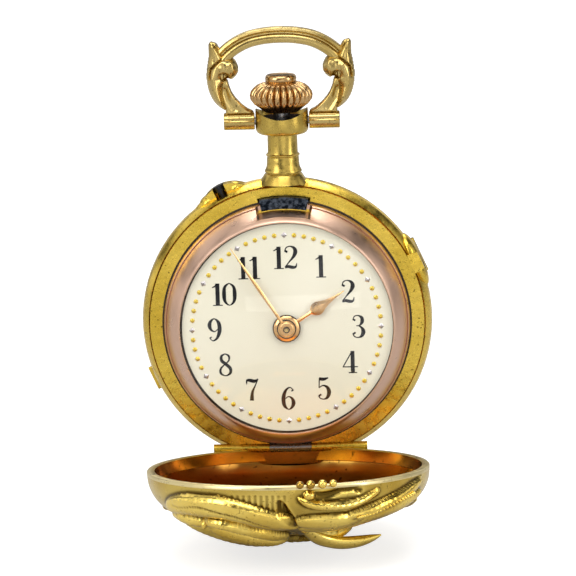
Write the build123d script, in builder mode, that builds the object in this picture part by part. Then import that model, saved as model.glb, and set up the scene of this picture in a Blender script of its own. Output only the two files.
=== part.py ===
from build123d import *
import os
from math import atan2, cos, degrees, pi, radians, sin, sqrt

# A pendant watch with a hunter case, 26 mm across, hung from a bow at 12 o'clock.
# The dial looks along -Y, the bow stands on +Z and 3 o'clock is +X. A height is counted from the flat
# middle of the back cover, where the origin is, towards the dial, so a height h lies at y = -h.

# Case band
case_radius = 13.0
band_back = 2.4
band_front = 5.4
widest_height = 3.65
seat_radius = 12.4
torus_front = 5.15
torus_back_radius = 12.5
groove_depth = 0.13
bore_radius = 10.3
upstand_radius = 10.55
upstand_height = 0.55
ledge_radius = 9.8
ledge_top = 5.45
ledge_thickness = 0.35
spring_groove_radius = 11.2
spring_groove_low = 3.0
spring_groove_high = 4.75

# Clearances and the one overrun that all cuts share
running_fit = 0.03
small_gap = 0.05
cover_gap = 0.05
overrun = 1.0
# sides of the small round pieces inside, which repeat
few_sides = 8
# chords that stand for a tight arc in what is turned
arc_chords = 4

# Bezel, crystal and dial
dial_height = 8.0
dial_thickness = 0.4
dial_radius = 9.45
bezel_radius = 10.92
bezel_top = 8.42
bezel_mouth_radius = 9.48
bezel_crest_width = 0.3
bezel_bulge = 0.3
bezel_lip = 0.12
crystal_radius = 9.6
crystal_rim = 0.22
crystal_thickness = 0.3
crystal_apex = 10.4
crystal_shoulder_radius = 9.3
crystal_shoulder_height = 8.85
dial_foot_radius = 0.3
dial_foot_length = 0.8
dial_foot_place = 8.95
dial_feet = 3
dial_foot_angle = 50
nail_notch_width = 0.8
nail_notch_depth = 0.35
nail_notch_angle = 203

# Front cover and its joint at 6 o'clock
cover_rim_radius = 12.35
cover_wall = 0.8
cover_wall_height = 0.35
cover_lip_height = 0.9
cover_skin = 0.4
cover_shoulder = 3.4
cover_apex = 11.35
cover_open_angle = 85
hinge_drop = 11.45
hinge_height = 5.3
knuckle_radius = 0.42
hinge_half_length = 6.9
centre_knuckle_half = 1.85
hinge_pin_radius = 0.18
hinge_scoop_radius = 1.5
hinge_scoop_half = 4.95

# Back cover, cuvette and their joint at 2 o'clock
back_rim_radius = 12.45
back_rim_height = 0.4
back_flat_cut = 0.12
back_shoulder = 1.6
back_wall = 0.75
back_skin = 0.45
back_hollow_low = 0.62
back_hinge_angle = 24
back_hinge_inset = 0.15
back_hinge_radius = case_radius - back_hinge_inset
back_hinge_height = 2.0
back_knuckle_radius = 0.42
back_pin_radius = 0.2
lug_half_width = 0.9
lug_rise = 0.22
lug_reach = case_radius + lug_rise
back_knuckle_half = 1.6
lug_taper = 10
cuvette_height = 1.55
cuvette_thickness = 0.3
cuvette_radius = 11.2
cuvette_rim_width = 0.5
back_lip_reach = 13.45
back_lip_width = 2.2

# Pendant, crown and stem
pendant_height = 3.9
pendant_seat = 12.7
pendant_base_radius = 1.85
pendant_neck_radius = 1.39
pendant_waist_radius = 1.3
pendant_tenon_radius = 1.0
pendant_tenon_end = 11.35
pendant_bore_radius = 0.78
collar_radius = 2.38
collar_bottom = 16.85
collar_top = 18.82
collar_dip = 0.25
collar_round = 0.45
collar_cup_radius = 1.7
collar_cup_depth = 0.75
collar_scoop_radius = 3.2
collar_scoop_depth = 0.55
ring_low = 13.62
ring_high = 14.75
ring_radius = 0.2
crown_bottom = 18.95
crown_top = 21.65
crown_radius = 2.8
crown_shares = ((0, 0.52), (0.15, 0.86), (0.43, 1), (0.76, 0.93), (1, 0.66))
crown_button_radius = 1.4
crown_button_height = 0.8
crown_flutes = 24
crown_flute_depth = 0.28
press_travel = 0.35
sleeve_radius = 0.74
stem_radius = 0.45
stem_end = 4.7

# Bow
bow_pivot_height = 18.05
bow_tube_radius = 0.77
bow_tube_start = 2.43
bow_tube_end = 5.16
bow_pin_radius = 0.35
bow_pin_reach = 1.3
bow_section_half = 0.775
bow_section_shares = ((0, 1), (0.6, 0.55), (0.42, 0))
bow_top = 26.0
bow_half_width = 5.75
bow_waist = 22.1
bow_foot_half = 4.3
bow_foot_height = 18.5
bow_leaf_thickness = 1.3

# Catch of the front cover, its springs and the setting pin
catch_inner_radius = 11.1
catch_root_radius = 11.16
catch_outer_radius = 11.48
catch_half_angle = 11
catch_lip_radius = 10.45
catch_lip_thickness = 0.25
catch_top = 6.3
lock_strip_radius = 10.72
strip_thickness = 0.26
strip_low = 3.25
strip_high = 4.5
lock_tail_angle = 30
fly_tail_angle = 205
fly_sweep_angle = 48
guard_angle = 115.7
guard_reach = 13.6
guard_half_length = 2.3
guard_half_height = 0.8
set_pin_radius = 0.35
set_pin_outer = 13.62
set_pin_inner = 9.95
set_pin_cap_radius = 0.5
set_pin_travel = 0.5

# Hands, with the time they show
hour_angle = 56.9
minute_angle = 325.4
hour_hand_length = 6.2
hour_boss_radius = 1.15
hour_hand_height = 8.24
hour_hand_thickness = 0.18
hour_bulb_width = 1.1
minute_hand_length = 8.8
minute_boss_radius = 0.75
minute_hand_height = 8.56
minute_hand_thickness = 0.14
minute_hand_width = 0.38
hand_root_width = 0.42
hand_neck_width = 0.3
hand_tip_width = 0.07
hour_place_shares = (0, 0.36, 0.515, 0.7)
minute_place_shares = (0, 0.22, 0.5, 0.78)
hub_top = 9.1

# Movement plates, with the heights of their faces
plate_radius = 9.42
flange_radius = 10.25
flange_thickness = 0.4
plate_recess_radius = 8.4
plate_recess_floor = 6.6
bridge_radius = 9.25
bridge_low = 2.6
bridge_high = 3.4
barrel_bridge_start = -52
barrel_bridge_sweep = 133
barrel_foot_inner = 7.5
barrel_side_foot_inner = 7.95
barrel_foot_turns = ((-50, 30), (58, 21))
train_bridge_start = 182
train_bridge_sweep = 103
train_foot_start = 200
train_foot_sweep = 80
train_foot_inner = 7.8
winding_slot_half = 1.42
stem_block_half = 0.42
pilot_radius = 0.22
pilot_end = 4.1
jewel_radius = 0.35
jewel_thickness = 0.2
pivot_radius = 0.12
pivot_depth = 0.3
arbor_radius = 0.25
wheel_thickness = 0.16
tip_height_share = 0.85
root_depth_share = 1.2
wheel_rim_width = 0.34
wheel_arm_width = 0.26
wheel_hub_radius = 0.55
wheel_arms = 4
pinion_margin = 0.07

# Train: tooth counts, modules and the direction of each centre from the one before it
barrel_teeth = 78
barrel_turn = 0
barrel_module = 0.1
centre_leaves = 12
centre_teeth = 80
centre_module = 0.08
third_leaves = 10
third_teeth = 75
third_module = 0.07
fourth_leaves = 10
fourth_teeth = 70
fourth_module = 0.06
escape_leaves = 7
escape_teeth = 15
escape_radius = 1.5
escape_tooth_depth = 0.34
escape_lean_share = 0.3
barrel_direction = 22
third_direction = 250
fourth_direction = 150
escape_direction = 160
drum_radius = 3.68
drum_low = 3.78
drum_tooth_width = 0.42
drum_high = 5.0
barrel_arbor_radius = 0.45
centre_wheel_height = 5.12
third_wheel_height = 4.2
fourth_wheel_height = 4.65
escape_wheel_height = 4.1

# Escapement and balance
pallet_x = -5.35
pallet_z = 0.75
balance_x = -4.75
balance_z = 3.5
pallet_height = 4.05
pallet_thickness = 0.2
pallet_cock_low = 3.3
pallet_cock_thickness = 0.3
pallet_foot_x = -7.6
pallet_foot_z = 1.2
pallet_foot_radius = 0.5
pallet_reach = 0.62
pallet_span = 0.9
pallet_shares = ((-0.1, 0), (0.1, 1), (1, 1), (0.93, 0.76), (0.5, 0.74), (0.2, 0.15))
lever_width = 0.1
balance_radius = 2.55
balance_rim = 0.3
balance_low = 3.7
balance_high = 3.95
roller_radius = 0.55
roller_height = 4.35
impulse_radius = 0.08
impulse_place = 0.4
hairspring_radius = 1.35
hairspring_turns = 4
hairspring_bore = 0.3
hairspring_strip = 0.07
hairspring_low = 3.3
hairspring_high = 3.48
cock_low = 2.25
cock_high = 2.95
cock_foot_x = -2.95
cock_foot_z = 7.55
cock_foot_radius = 1.05
cock_eye_radius = 1.3
regulator_radius = 0.75
regulator_thickness = 0.15
regulator_length = 2.3
regulator_spread = 25

# Winding and motion work
ratchet_teeth = 49
ratchet_turn = 0
winding_module = 0.1
winding_wheel_thickness = 0.3
crown_wheel_teeth = 52
crown_wheel_x = 0.0
crown_wheel_z = 4.55
click_reach = 3.4
click_direction = 12
click_lead = 24
click_beak_gap = 0.22
click_radius = 0.38
click_spring_way = -75
click_spring_bend = 30
click_spring_length = 1.9
click_spring_width = 0.14
winding_pinion_radius = 1.26
winding_pinion_teeth = 24
winding_tooth_depth = 0.18
winding_pinion_low = 6.6
winding_pinion_high = 7.6
sliding_pinion_low = 5.3
sliding_pinion_radius = 0.95
cannon_leaves = 12
motion_pinion_width = 0.3
minute_teeth = 36
minute_leaves = 10
hour_teeth = 40
motion_distance = 2.64
motion_direction = 200
cannon_radius = 0.45
centre_pin_radius = 0.18
hour_pipe_radius = 0.68

os.makedirs("parts", exist_ok=True)

# A drawing plane for what is turned about the case's axis: x is the radius and y the height
section = Plane(origin=(0, 0, 0), x_dir=(1, 0, 0), z_dir=(0, 0, -1))
# The same for what is turned about the pendant's axis: radius and distance from the case's centre
pendant_section = Plane(origin=(0, -pendant_height, 0), x_dir=(1, 0, 0), z_dir=(0, -1, 0))
pendant_axis = Axis((0, -pendant_height, 0), (0, 0, 1))
hinge_centre = (0, -hinge_height, -hinge_drop)


def facing(x, z, height):
    """The plane at a height above the back face, centred on x and z, that looks out of the dial."""
    return Plane(origin=(x, -height, z), x_dir=(1, 0, 0), z_dir=(0, -1, 0))


def polar(radius, angle):
    """A point of the dial plane by its radius and its angle from 3 o'clock, in degrees."""
    return radius * cos(radians(angle)), radius * sin(radians(angle))


def across(height, angle):
    """The plane at right angles to a radius of the case: x runs along the rim and y towards the dial."""
    return Plane(
        origin=(0, -height, 0),
        x_dir=(-sin(radians(angle)), 0, cos(radians(angle))),
        z_dir=(cos(radians(angle)), 0, sin(radians(angle))),
    )


def toothed(plane, teeth, tip_radius, root_radius, turn=0.0, bore=0.0, lean=0.0):
    """The outline of a wheel whose teeth are single peaks, upright or leaning by a share of their step."""
    step = 360 / teeth
    corners = []
    for index in range(teeth):
        middle = turn + index * step
        corners.append(polar(root_radius, middle - step / 2))
        corners.append(polar(tip_radius, middle + lean * step))
    with BuildSketch(plane) as outline:
        with BuildLine():
            Polyline(*corners, close=True)
        make_face()
        if bore > 0:
            Circle(bore, mode=Mode.SUBTRACT)
    return outline.sketch


def chords(start, through, end):
    """An arc through three points, drawn as a few chords, so that what is turned from it stays light."""
    arc = ThreePointArc(start, through, end, mode=Mode.PRIVATE)
    Polyline(start, *[arc @ (index / arc_chords) for index in range(1, arc_chords)], end)


def dome(rim_radius, rim_height, shoulder, apex):
    """A tight shoulder from a rim, then a wide arc to the apex on the axis."""
    way = 1 if apex > rim_height else -1
    rise = abs(apex - rim_height)
    centre = rim_radius - shoulder
    crown = (centre**2 + rise**2 - shoulder**2) / (2 * (rise - shoulder))
    turn = atan2(centre, crown - rise)
    half_shoulder = (pi / 2 - turn) / 2
    meeting = (crown * sin(turn), apex - way * crown * (1 - cos(turn)))
    chords(
        (rim_radius, rim_height),
        (centre + shoulder * cos(half_shoulder), rim_height + way * shoulder * sin(half_shoulder)),
        meeting,
    )
    ThreePointArc(
        meeting,
        (crown * sin(turn / 2), apex - way * crown * (1 - cos(turn / 2))),
        (0, apex),
    )


def save(piece, name):
    """Names a finished piece and writes it to its own file."""
    piece.part.label = name
    export_step(piece.part, f"parts/{name}.step")


# Case middle: the turned gold band with its seat for the front cover, the ledge that holds the movement,
# the two outer knuckles of the front joint, the lug of the back joint and the guard of the setting pin
with BuildPart() as case_middle:
    with BuildSketch(section):
        with BuildLine():
            Polyline(
                (seat_radius, torus_front),
                (seat_radius - groove_depth / 2, torus_front - groove_depth),
                (seat_radius - groove_depth, band_front),
                (upstand_radius, band_front),
                (upstand_radius, band_front + upstand_height),
                (bore_radius, band_front + upstand_height),
                (bore_radius, ledge_top),
                (ledge_radius, ledge_top),
                (ledge_radius, ledge_top - ledge_thickness),
                (bore_radius, spring_groove_high),
                (spring_groove_radius, spring_groove_high),
                (spring_groove_radius, spring_groove_low),
                (bore_radius, spring_groove_low),
                (bore_radius, band_back),
                (torus_back_radius, band_back),
            )
            chords((torus_back_radius, band_back), (case_radius, widest_height), (seat_radius, torus_front))
        make_face()
    revolve(axis=Axis.Y)
    # the scoop below the front joint, which the rim of the open front cover turns into
    with BuildSketch(Plane.YZ.offset(-hinge_scoop_half)):
        with Locations((-hinge_height, -hinge_drop)):
            Circle(hinge_scoop_radius)
            Rectangle(
                2 * hinge_scoop_radius,
                hinge_scoop_radius,
                align=(Align.CENTER, Align.MIN),
                mode=Mode.SUBTRACT,
            )
    extrude(amount=2 * hinge_scoop_half, mode=Mode.SUBTRACT)
    # the seat and bore of the pendant, one stepped hole
    with BuildSketch(pendant_section):
        with BuildLine():
            Polyline(
                (0, pendant_tenon_end - 2 * overrun),
                (pendant_tenon_radius, pendant_tenon_end - 2 * overrun),
                (pendant_tenon_radius, pendant_seat),
                (pendant_base_radius + running_fit, pendant_seat),
                (pendant_base_radius + running_fit, pendant_seat + overrun),
                (0, pendant_seat + overrun),
                close=True,
            )
        make_face()
    revolve(axis=pendant_axis, mode=Mode.SUBTRACT)
    # the slot that the catch stands in
    with BuildSketch(facing(0, 0, spring_groove_high - overrun)):
        with BuildLine():
            slot_start = 90 - catch_half_angle - 1
            slot_sweep = 2 * (catch_half_angle + 1)
            slot_inner = catch_inner_radius - 3 * small_gap
            slot_outer = catch_outer_radius + small_gap
            CenterArc((0, 0), slot_inner, slot_start, slot_sweep)
            CenterArc((0, 0), slot_outer, slot_start, slot_sweep)
            Line(polar(slot_inner, slot_start), polar(slot_outer, slot_start))
            Line(polar(slot_inner, slot_start + slot_sweep), polar(slot_outer, slot_start + slot_sweep))
        make_face()
    extrude(amount=overrun + band_front, mode=Mode.SUBTRACT)
    # the knuckles of the front joint
    for side in (-1, 1):
        with BuildSketch(Plane.YZ.offset(side * (centre_knuckle_half + small_gap))):
            with Locations((-hinge_height, -hinge_drop)):
                Circle(knuckle_radius)
        extrude(amount=side * (hinge_half_length - centre_knuckle_half - small_gap))
    with BuildSketch(Plane.YZ.offset(-hinge_half_length)):
        with Locations((-hinge_height, -hinge_drop)):
            Circle(hinge_pin_radius)
    extrude(amount=2 * hinge_half_length, mode=Mode.SUBTRACT)
    with BuildSketch(Plane.YZ.offset(-centre_knuckle_half - small_gap)):
        with Locations((-hinge_height, -hinge_drop)):
            Circle(knuckle_radius + small_gap)
    extrude(amount=2 * (centre_knuckle_half + small_gap), mode=Mode.SUBTRACT)
    # the lug of the back joint
    for lug_inner, lug_low in (
        (seat_radius - groove_depth, band_back),
        (back_rim_radius + small_gap, back_hinge_height),
    ):
        with BuildSketch(across(0, back_hinge_angle).offset(lug_inner)):
            with Locations((0, (lug_low + band_front) / 2)):
                Rectangle(2 * lug_half_width, band_front - lug_low)
        extrude(amount=lug_reach - lug_inner, taper=lug_taper)
    lug_origin = polar(back_hinge_radius, back_hinge_angle)
    lug_plane = Plane(
        origin=(lug_origin[0], -back_hinge_height, lug_origin[1]),
        x_dir=(cos(radians(back_hinge_angle)), 0, sin(radians(back_hinge_angle))),
        z_dir=(-sin(radians(back_hinge_angle)), 0, cos(radians(back_hinge_angle))),
    )
    with BuildSketch(lug_plane.offset(-back_knuckle_half - overrun)):
        Circle(back_knuckle_radius + small_gap)
    extrude(amount=back_knuckle_half - lug_half_width + overrun, mode=Mode.SUBTRACT)
    with BuildSketch(lug_plane.offset(lug_half_width)):
        Circle(back_knuckle_radius + small_gap)
    extrude(amount=back_knuckle_half - lug_half_width + overrun, mode=Mode.SUBTRACT)
    with BuildSketch(lug_plane.offset(-lug_half_width)):
        Circle(back_knuckle_radius)
    extrude(amount=2 * lug_half_width)
    with BuildSketch(lug_plane.offset(-overrun)):
        Circle(back_pin_radius)
    extrude(amount=2 * overrun, mode=Mode.SUBTRACT)
    # the guard, a low boss on either side of the setting pin
    with BuildSketch(facing(0, 0, widest_height - guard_half_height)):
        guard_ends = [
            polar(case_radius - groove_depth, guard_angle + side * degrees(guard_half_length / case_radius))
            for side in (-1, 1)
        ]
        with BuildLine():
            ThreePointArc(guard_ends[0], polar(guard_reach, guard_angle), guard_ends[1])
            ThreePointArc(guard_ends[0], polar(spring_groove_radius + small_gap, guard_angle), guard_ends[1])
        make_face()
    extrude(amount=2 * guard_half_height)
    with BuildSketch(across(widest_height, guard_angle).offset(bore_radius - overrun)):
        Circle(set_pin_radius + running_fit)
    extrude(amount=guard_reach - bore_radius + 2 * overrun, mode=Mode.SUBTRACT)
    with BuildSketch(across(widest_height, guard_angle).offset(case_radius - set_pin_travel)):
        Circle(set_pin_cap_radius + small_gap)
        Rectangle(
            2 * (set_pin_cap_radius + small_gap), guard_reach, align=(Align.CENTER, Align.MIN)
        )
    extrude(amount=guard_reach, mode=Mode.SUBTRACT)
save(case_middle, "case_middle")

# Front hinge pin: a steel wire through the five-part joint
with BuildPart() as front_hinge_pin:
    with BuildSketch(Plane.YZ.offset(-hinge_half_length)):
        with Locations((-hinge_height, -hinge_drop)):
            Circle(hinge_pin_radius)
    extrude(amount=2 * hinge_half_length)
save(front_hinge_pin, "front_hinge_pin")

# Front cover: a domed gold shell, modelled shut and then swung open about its joint. Its outside carries
# the chased leaf work.
rim_height = band_front + cover_gap
inner_rim_radius = cover_rim_radius - cover_wall
cover_swing = Axis(hinge_centre, (1, 0, 0))
with BuildPart() as cover_closed:
    with BuildSketch(section):
        with BuildLine():
            dome(cover_rim_radius, rim_height + cover_wall_height, cover_shoulder, cover_apex)
            Polyline(
                (cover_rim_radius, rim_height + cover_wall_height),
                (cover_rim_radius, rim_height),
                (0, rim_height),
                (0, cover_apex),
            )
        make_face()
    revolve(axis=Axis.Y)
    # the hollow: a straight lip at the rim, and the dome one skin inside the outer one
    with BuildSketch(section):
        with BuildLine():
            dome(
                cover_rim_radius - cover_skin,
                rim_height + cover_wall_height,
                cover_shoulder - cover_skin,
                cover_apex - cover_skin,
            )
            Polyline(
                (cover_rim_radius - cover_skin, rim_height + cover_wall_height),
                (cover_rim_radius - cover_skin, rim_height - overrun),
                (0, rim_height - overrun),
                (0, cover_apex - cover_skin),
            )
        make_face()
        with BuildLine():
            Polyline(
                (inner_rim_radius, rim_height - overrun),
                (cover_rim_radius, rim_height - overrun),
                (cover_rim_radius, rim_height + cover_lip_height),
                (inner_rim_radius, rim_height + cover_lip_height),
                close=True,
            )
        make_face(mode=Mode.SUBTRACT)
    revolve(axis=Axis.Y, mode=Mode.SUBTRACT)
    # the rim gives way to the knuckles
    for side in (-1, 1):
        with BuildSketch(Plane.YZ.offset(side * centre_knuckle_half)):
            with Locations((-hinge_height, -hinge_drop)):
                Circle(knuckle_radius + 2 * small_gap)
        extrude(amount=side * (hinge_half_length - centre_knuckle_half + overrun), mode=Mode.SUBTRACT)
    # the leaf that joins the rim to the centre knuckle
    with BuildSketch(Plane.YZ.offset(-centre_knuckle_half)):
        with BuildLine():
            Polyline(
                (-hinge_height, -hinge_drop),
                (-hinge_height, -inner_rim_radius - cover_wall / 2),
                (-rim_height - cover_wall, -inner_rim_radius - cover_wall / 2),
                (-rim_height - cover_wall, -inner_rim_radius + small_gap),
                (-hinge_height - knuckle_radius, -hinge_drop + knuckle_radius / 2),
                close=True,
            )
        make_face()
    extrude(amount=2 * centre_knuckle_half)
    with BuildSketch(Plane.YZ.offset(-centre_knuckle_half - overrun)):
        with Locations((-hinge_height, -hinge_drop)):
            Circle(knuckle_radius)
    extrude(amount=2 * (centre_knuckle_half + overrun), mode=Mode.SUBTRACT)
with BuildPart() as front_cover:
    add(cover_closed.part.rotate(cover_swing, cover_open_angle))
save(front_cover, "front_cover")

# Centre knuckle of the front joint: a steel tube soldered to the front cover
with BuildPart() as front_cover_knuckle:
    with BuildSketch(Plane.YZ.offset(-centre_knuckle_half)):
        with Locations((-hinge_height, -hinge_drop)):
            Circle(knuckle_radius)
            Circle(hinge_pin_radius + running_fit, mode=Mode.SUBTRACT)
    extrude(amount=2 * centre_knuckle_half)
save(front_cover_knuckle, "front_cover_knuckle")

# Bezel: the rose gold ring that snaps over the upstand and holds the crystal
crest_radius = bezel_mouth_radius + bezel_crest_width
groove_floor = dial_height + small_gap
groove_roof = groove_floor + crystal_rim + small_gap
with BuildPart() as bezel:
    with BuildSketch(section):
        middle_radius = (bezel_radius + crest_radius) / 2 + bezel_bulge
        middle_height = (band_front + bezel_top) / 2 + bezel_bulge / 2
        with BuildLine():
            chords((bezel_radius, band_front), (middle_radius, middle_height), (crest_radius, bezel_top))
            Polyline(
                (crest_radius, bezel_top),
                (bezel_mouth_radius, bezel_top - small_gap),
                (bezel_mouth_radius, bezel_top - bezel_lip + small_gap),
                (crystal_radius + running_fit, groove_roof),
                (crystal_radius + running_fit, groove_floor - small_gap),
                (dial_radius + small_gap, groove_floor - small_gap),
                (dial_radius + small_gap, band_front + upstand_height + small_gap),
                (upstand_radius + running_fit, band_front + upstand_height + small_gap),
                (upstand_radius + running_fit, band_front),
                (bezel_radius, band_front),
            )
        make_face()
    revolve(axis=Axis.Y)
    with BuildSketch(across(band_front, nail_notch_angle).offset(bezel_radius - nail_notch_depth)):
        Rectangle(nail_notch_width, nail_notch_depth, align=(Align.CENTER, Align.MIN))
    extrude(amount=overrun, mode=Mode.SUBTRACT)
    # the step in its edge that the lip of the catch slides over
    catch_lip_low = catch_top - catch_lip_thickness
    with BuildSketch(facing(0, 0, catch_lip_low - 2 * small_gap)):
        Rectangle(
            2 * bezel_radius * sin(radians(catch_half_angle + 1)),
            bezel_radius,
            align=(Align.CENTER, Align.MIN),
        )
        Circle(catch_lip_radius - 4 * small_gap, mode=Mode.SUBTRACT)
    extrude(amount=bezel_top, mode=Mode.SUBTRACT)
save(bezel, "bezel")

# Crystal: a domed glass with a steep edge and a small flange that sits in the bezel's groove
with BuildPart() as crystal:
    inner_shoulder = (
        crystal_shoulder_radius - crystal_thickness,
        crystal_shoulder_height - crystal_thickness / 2,
    )
    inner_apex = crystal_apex - crystal_thickness
    with BuildSketch(section):
        with BuildLine():
            for shoulder, apex in (
                ((crystal_shoulder_radius, crystal_shoulder_height), crystal_apex),
                (inner_shoulder, inner_apex),
            ):
                ball = (shoulder[0] ** 2 + (apex - shoulder[1]) ** 2) / (2 * (apex - shoulder[1]))
                half = shoulder[0] / 2
                ThreePointArc((0, apex), (half, apex - ball + sqrt(ball**2 - half**2)), shoulder)
            Line((0, inner_apex), (0, crystal_apex))
            Polyline(
                (crystal_shoulder_radius, crystal_shoulder_height),
                (bezel_mouth_radius - small_gap, groove_floor + crystal_rim),
                (crystal_radius, groove_floor + crystal_rim),
                (crystal_radius, groove_floor),
                (inner_shoulder[0] + crystal_thickness / 2, groove_floor),
                inner_shoulder,
            )
        make_face()
    revolve(axis=Axis.Y)
save(crystal, "crystal")

# Dial: enamel on copper, with a centre hole and three feet
with BuildPart() as dial:
    with BuildSketch(facing(0, 0, dial_height - dial_thickness)):
        Circle(dial_radius)
        Circle(hour_pipe_radius + 2 * small_gap, mode=Mode.SUBTRACT)
    extrude(amount=dial_thickness)
    with BuildSketch(facing(0, 0, dial_height - dial_thickness - dial_foot_length)):
        with PolarLocations(dial_foot_place, dial_feet, start_angle=dial_foot_angle):
            RegularPolygon(dial_foot_radius, few_sides)
    extrude(amount=dial_foot_length)
save(dial, "dial")

# Back cover: a shallower dome with a flat middle, a nail lip at 8 o'clock and two knuckles at 2 o'clock.
# It is drawn shut, as it lies.
back_rim_top = band_back - cover_gap
back_rim_low = back_rim_top - back_rim_height
lug_sides = (-1, 1)
with BuildPart() as back_cover:
    with BuildSketch(section):
        with BuildLine():
            dome(back_rim_radius, back_rim_low, back_shoulder, -back_flat_cut)
            Polyline(
                (back_rim_radius, back_rim_low),
                (back_rim_radius, back_rim_top),
                (0, back_rim_top),
                (0, -back_flat_cut),
            )
        make_face()
    revolve(axis=Axis.Y)
    # the nail lip, drawn before the hollow is cut
    with BuildSketch(across(back_rim_top, back_hinge_angle + 180).offset(back_rim_radius - back_wall / 2)):
        with Locations((0, -back_rim_height / 2)):
            RectangleRounded(back_lip_width, back_rim_height, back_rim_height / 3)
    extrude(amount=back_lip_reach - back_rim_radius + back_wall / 2)
    # the knuckles on either side of the case's lug
    for side in lug_sides:
        with BuildSketch(lug_plane.offset(side * (lug_half_width + small_gap))):
            Circle(back_knuckle_radius)
            with Locations((-back_knuckle_radius, back_hinge_height - back_rim_top)):
                Rectangle(
                    2 * back_knuckle_radius, 1.25 * back_knuckle_radius, align=(Align.CENTER, Align.MIN)
                )
        extrude(amount=side * (back_knuckle_half - lug_half_width - small_gap))
    with BuildSketch(section):
        with BuildLine():
            Polyline(
                (back_rim_radius - back_wall, back_rim_top + overrun),
                (back_rim_radius - back_wall, back_rim_low),
                (back_rim_radius - back_shoulder, back_hollow_low + back_skin / 2),
                (back_rim_radius - 2 * back_shoulder, back_hollow_low),
                (0, back_hollow_low),
                (0, back_rim_top + overrun),
                close=True,
            )
        make_face()
    revolve(axis=Axis.Y, mode=Mode.SUBTRACT)
    with BuildSketch(facing(0, 0, -overrun)):
        Circle(back_rim_radius)
    extrude(amount=overrun, mode=Mode.SUBTRACT)
    with BuildSketch(lug_plane.offset(-lug_half_width - small_gap)):
        Circle(back_knuckle_radius + 2 * small_gap)
    extrude(amount=2 * (lug_half_width + small_gap), mode=Mode.SUBTRACT)
    with BuildSketch(lug_plane.offset(-back_knuckle_half - overrun)):
        Circle(back_pin_radius + running_fit)
    extrude(amount=2 * (back_knuckle_half + overrun), mode=Mode.SUBTRACT)
save(back_cover, "back_cover")

# Back hinge pin
with BuildPart() as back_hinge_pin:
    with BuildSketch(lug_plane.offset(-back_knuckle_half)):
        Circle(back_pin_radius)
    extrude(amount=2 * back_knuckle_half)
save(back_hinge_pin, "back_hinge_pin")

# Cuvette: the thin inner cover between the back cover and the movement, with a raised rim
with BuildPart() as cuvette:
    with BuildSketch(section):
        with BuildLine():
            Polyline(
                (0, cuvette_height),
                (cuvette_radius - 2 * cuvette_rim_width, cuvette_height),
                (cuvette_radius - cuvette_rim_width, cuvette_height + cuvette_thickness),
                (cuvette_radius, cuvette_height + cuvette_thickness),
                (cuvette_radius, cuvette_height + 2 * cuvette_thickness),
                (cuvette_radius - 2 * cuvette_rim_width, cuvette_height + 2 * cuvette_thickness),
                (cuvette_radius - 3 * cuvette_rim_width, cuvette_height + cuvette_thickness),
                (0, cuvette_height + cuvette_thickness),
                close=True,
            )
        make_face()
    revolve(axis=Axis.Y)
save(cuvette, "cuvette")

# Pendant: the turned neck that carries the bow and guides the stem, ending in a collar with a cup
with BuildPart() as pendant:
    with BuildSketch(pendant_section):
        with BuildLine():
            Polyline(
                (pendant_bore_radius, pendant_tenon_end),
                (pendant_tenon_radius, pendant_tenon_end),
                (pendant_tenon_radius, pendant_seat),
                (pendant_base_radius, pendant_seat),
                (pendant_base_radius, pendant_seat + ring_radius),
            )
            bead_sides = [
                (pendant_base_radius, pendant_seat + ring_radius),
                (pendant_waist_radius + ring_radius, pendant_seat + 2 * ring_radius),
            ]
            for bead in (ring_low, ring_high):
                bead_sides += [
                    (pendant_waist_radius, bead),
                    (pendant_waist_radius + ring_radius, bead + ring_radius),
                    (pendant_waist_radius, bead + 1.9 * ring_radius),
                ]
            Polyline(
                *bead_sides,
                (pendant_neck_radius, ring_high + 2 * ring_radius),
                (pendant_neck_radius, collar_bottom),
                (collar_radius - collar_round, collar_bottom),
                (collar_radius - collar_round / 4, collar_bottom + collar_round / 4),
                (collar_radius, collar_bottom + collar_round),
                (collar_radius, collar_top),
                (collar_cup_radius, collar_top - collar_dip),
                (collar_cup_radius, collar_top - collar_cup_depth),
                (pendant_bore_radius, collar_top - collar_cup_depth),
                (pendant_bore_radius, pendant_tenon_end),
            )
        make_face()
    revolve(axis=pendant_axis)
    # the scoops that bare the crown in front and behind
    with BuildSketch(Plane.XZ.offset(pendant_height - collar_radius - overrun)):
        with Locations((0, collar_top - collar_scoop_depth + collar_scoop_radius)):
            Circle(collar_scoop_radius)
    extrude(amount=2 * (collar_radius + overrun), mode=Mode.SUBTRACT)
    # the holes of the bow pins
    with BuildSketch(Plane.YZ.offset(-collar_radius - overrun)):
        with Locations((-pendant_height, bow_pivot_height)):
            Circle(bow_pin_radius)
    extrude(amount=overrun + collar_radius - collar_cup_radius, mode=Mode.SUBTRACT)
    with BuildSketch(Plane.YZ.offset(collar_cup_radius)):
        with Locations((-pendant_height, bow_pivot_height)):
            Circle(bow_pin_radius)
    extrude(amount=overrun + collar_radius - collar_cup_radius, mode=Mode.SUBTRACT)
save(pendant, "pendant")

# Bow pins: a screw through each foot of the bow into the collar
with BuildPart() as bow_pins:
    for side in (-1, 1):
        with BuildSketch(Plane.YZ.offset(side * collar_cup_radius)):
            with Locations((-pendant_height, bow_pivot_height)):
                Circle(bow_pin_radius)
        extrude(amount=side * (bow_tube_end - collar_cup_radius - bow_pin_radius))
save(bow_pins, "bow_pins")

# Bow: an arch with a groove along its crown, a leaf on either side and two tubes that turn on the pins
bow_plane = Plane.XZ.offset(pendant_height)
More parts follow.
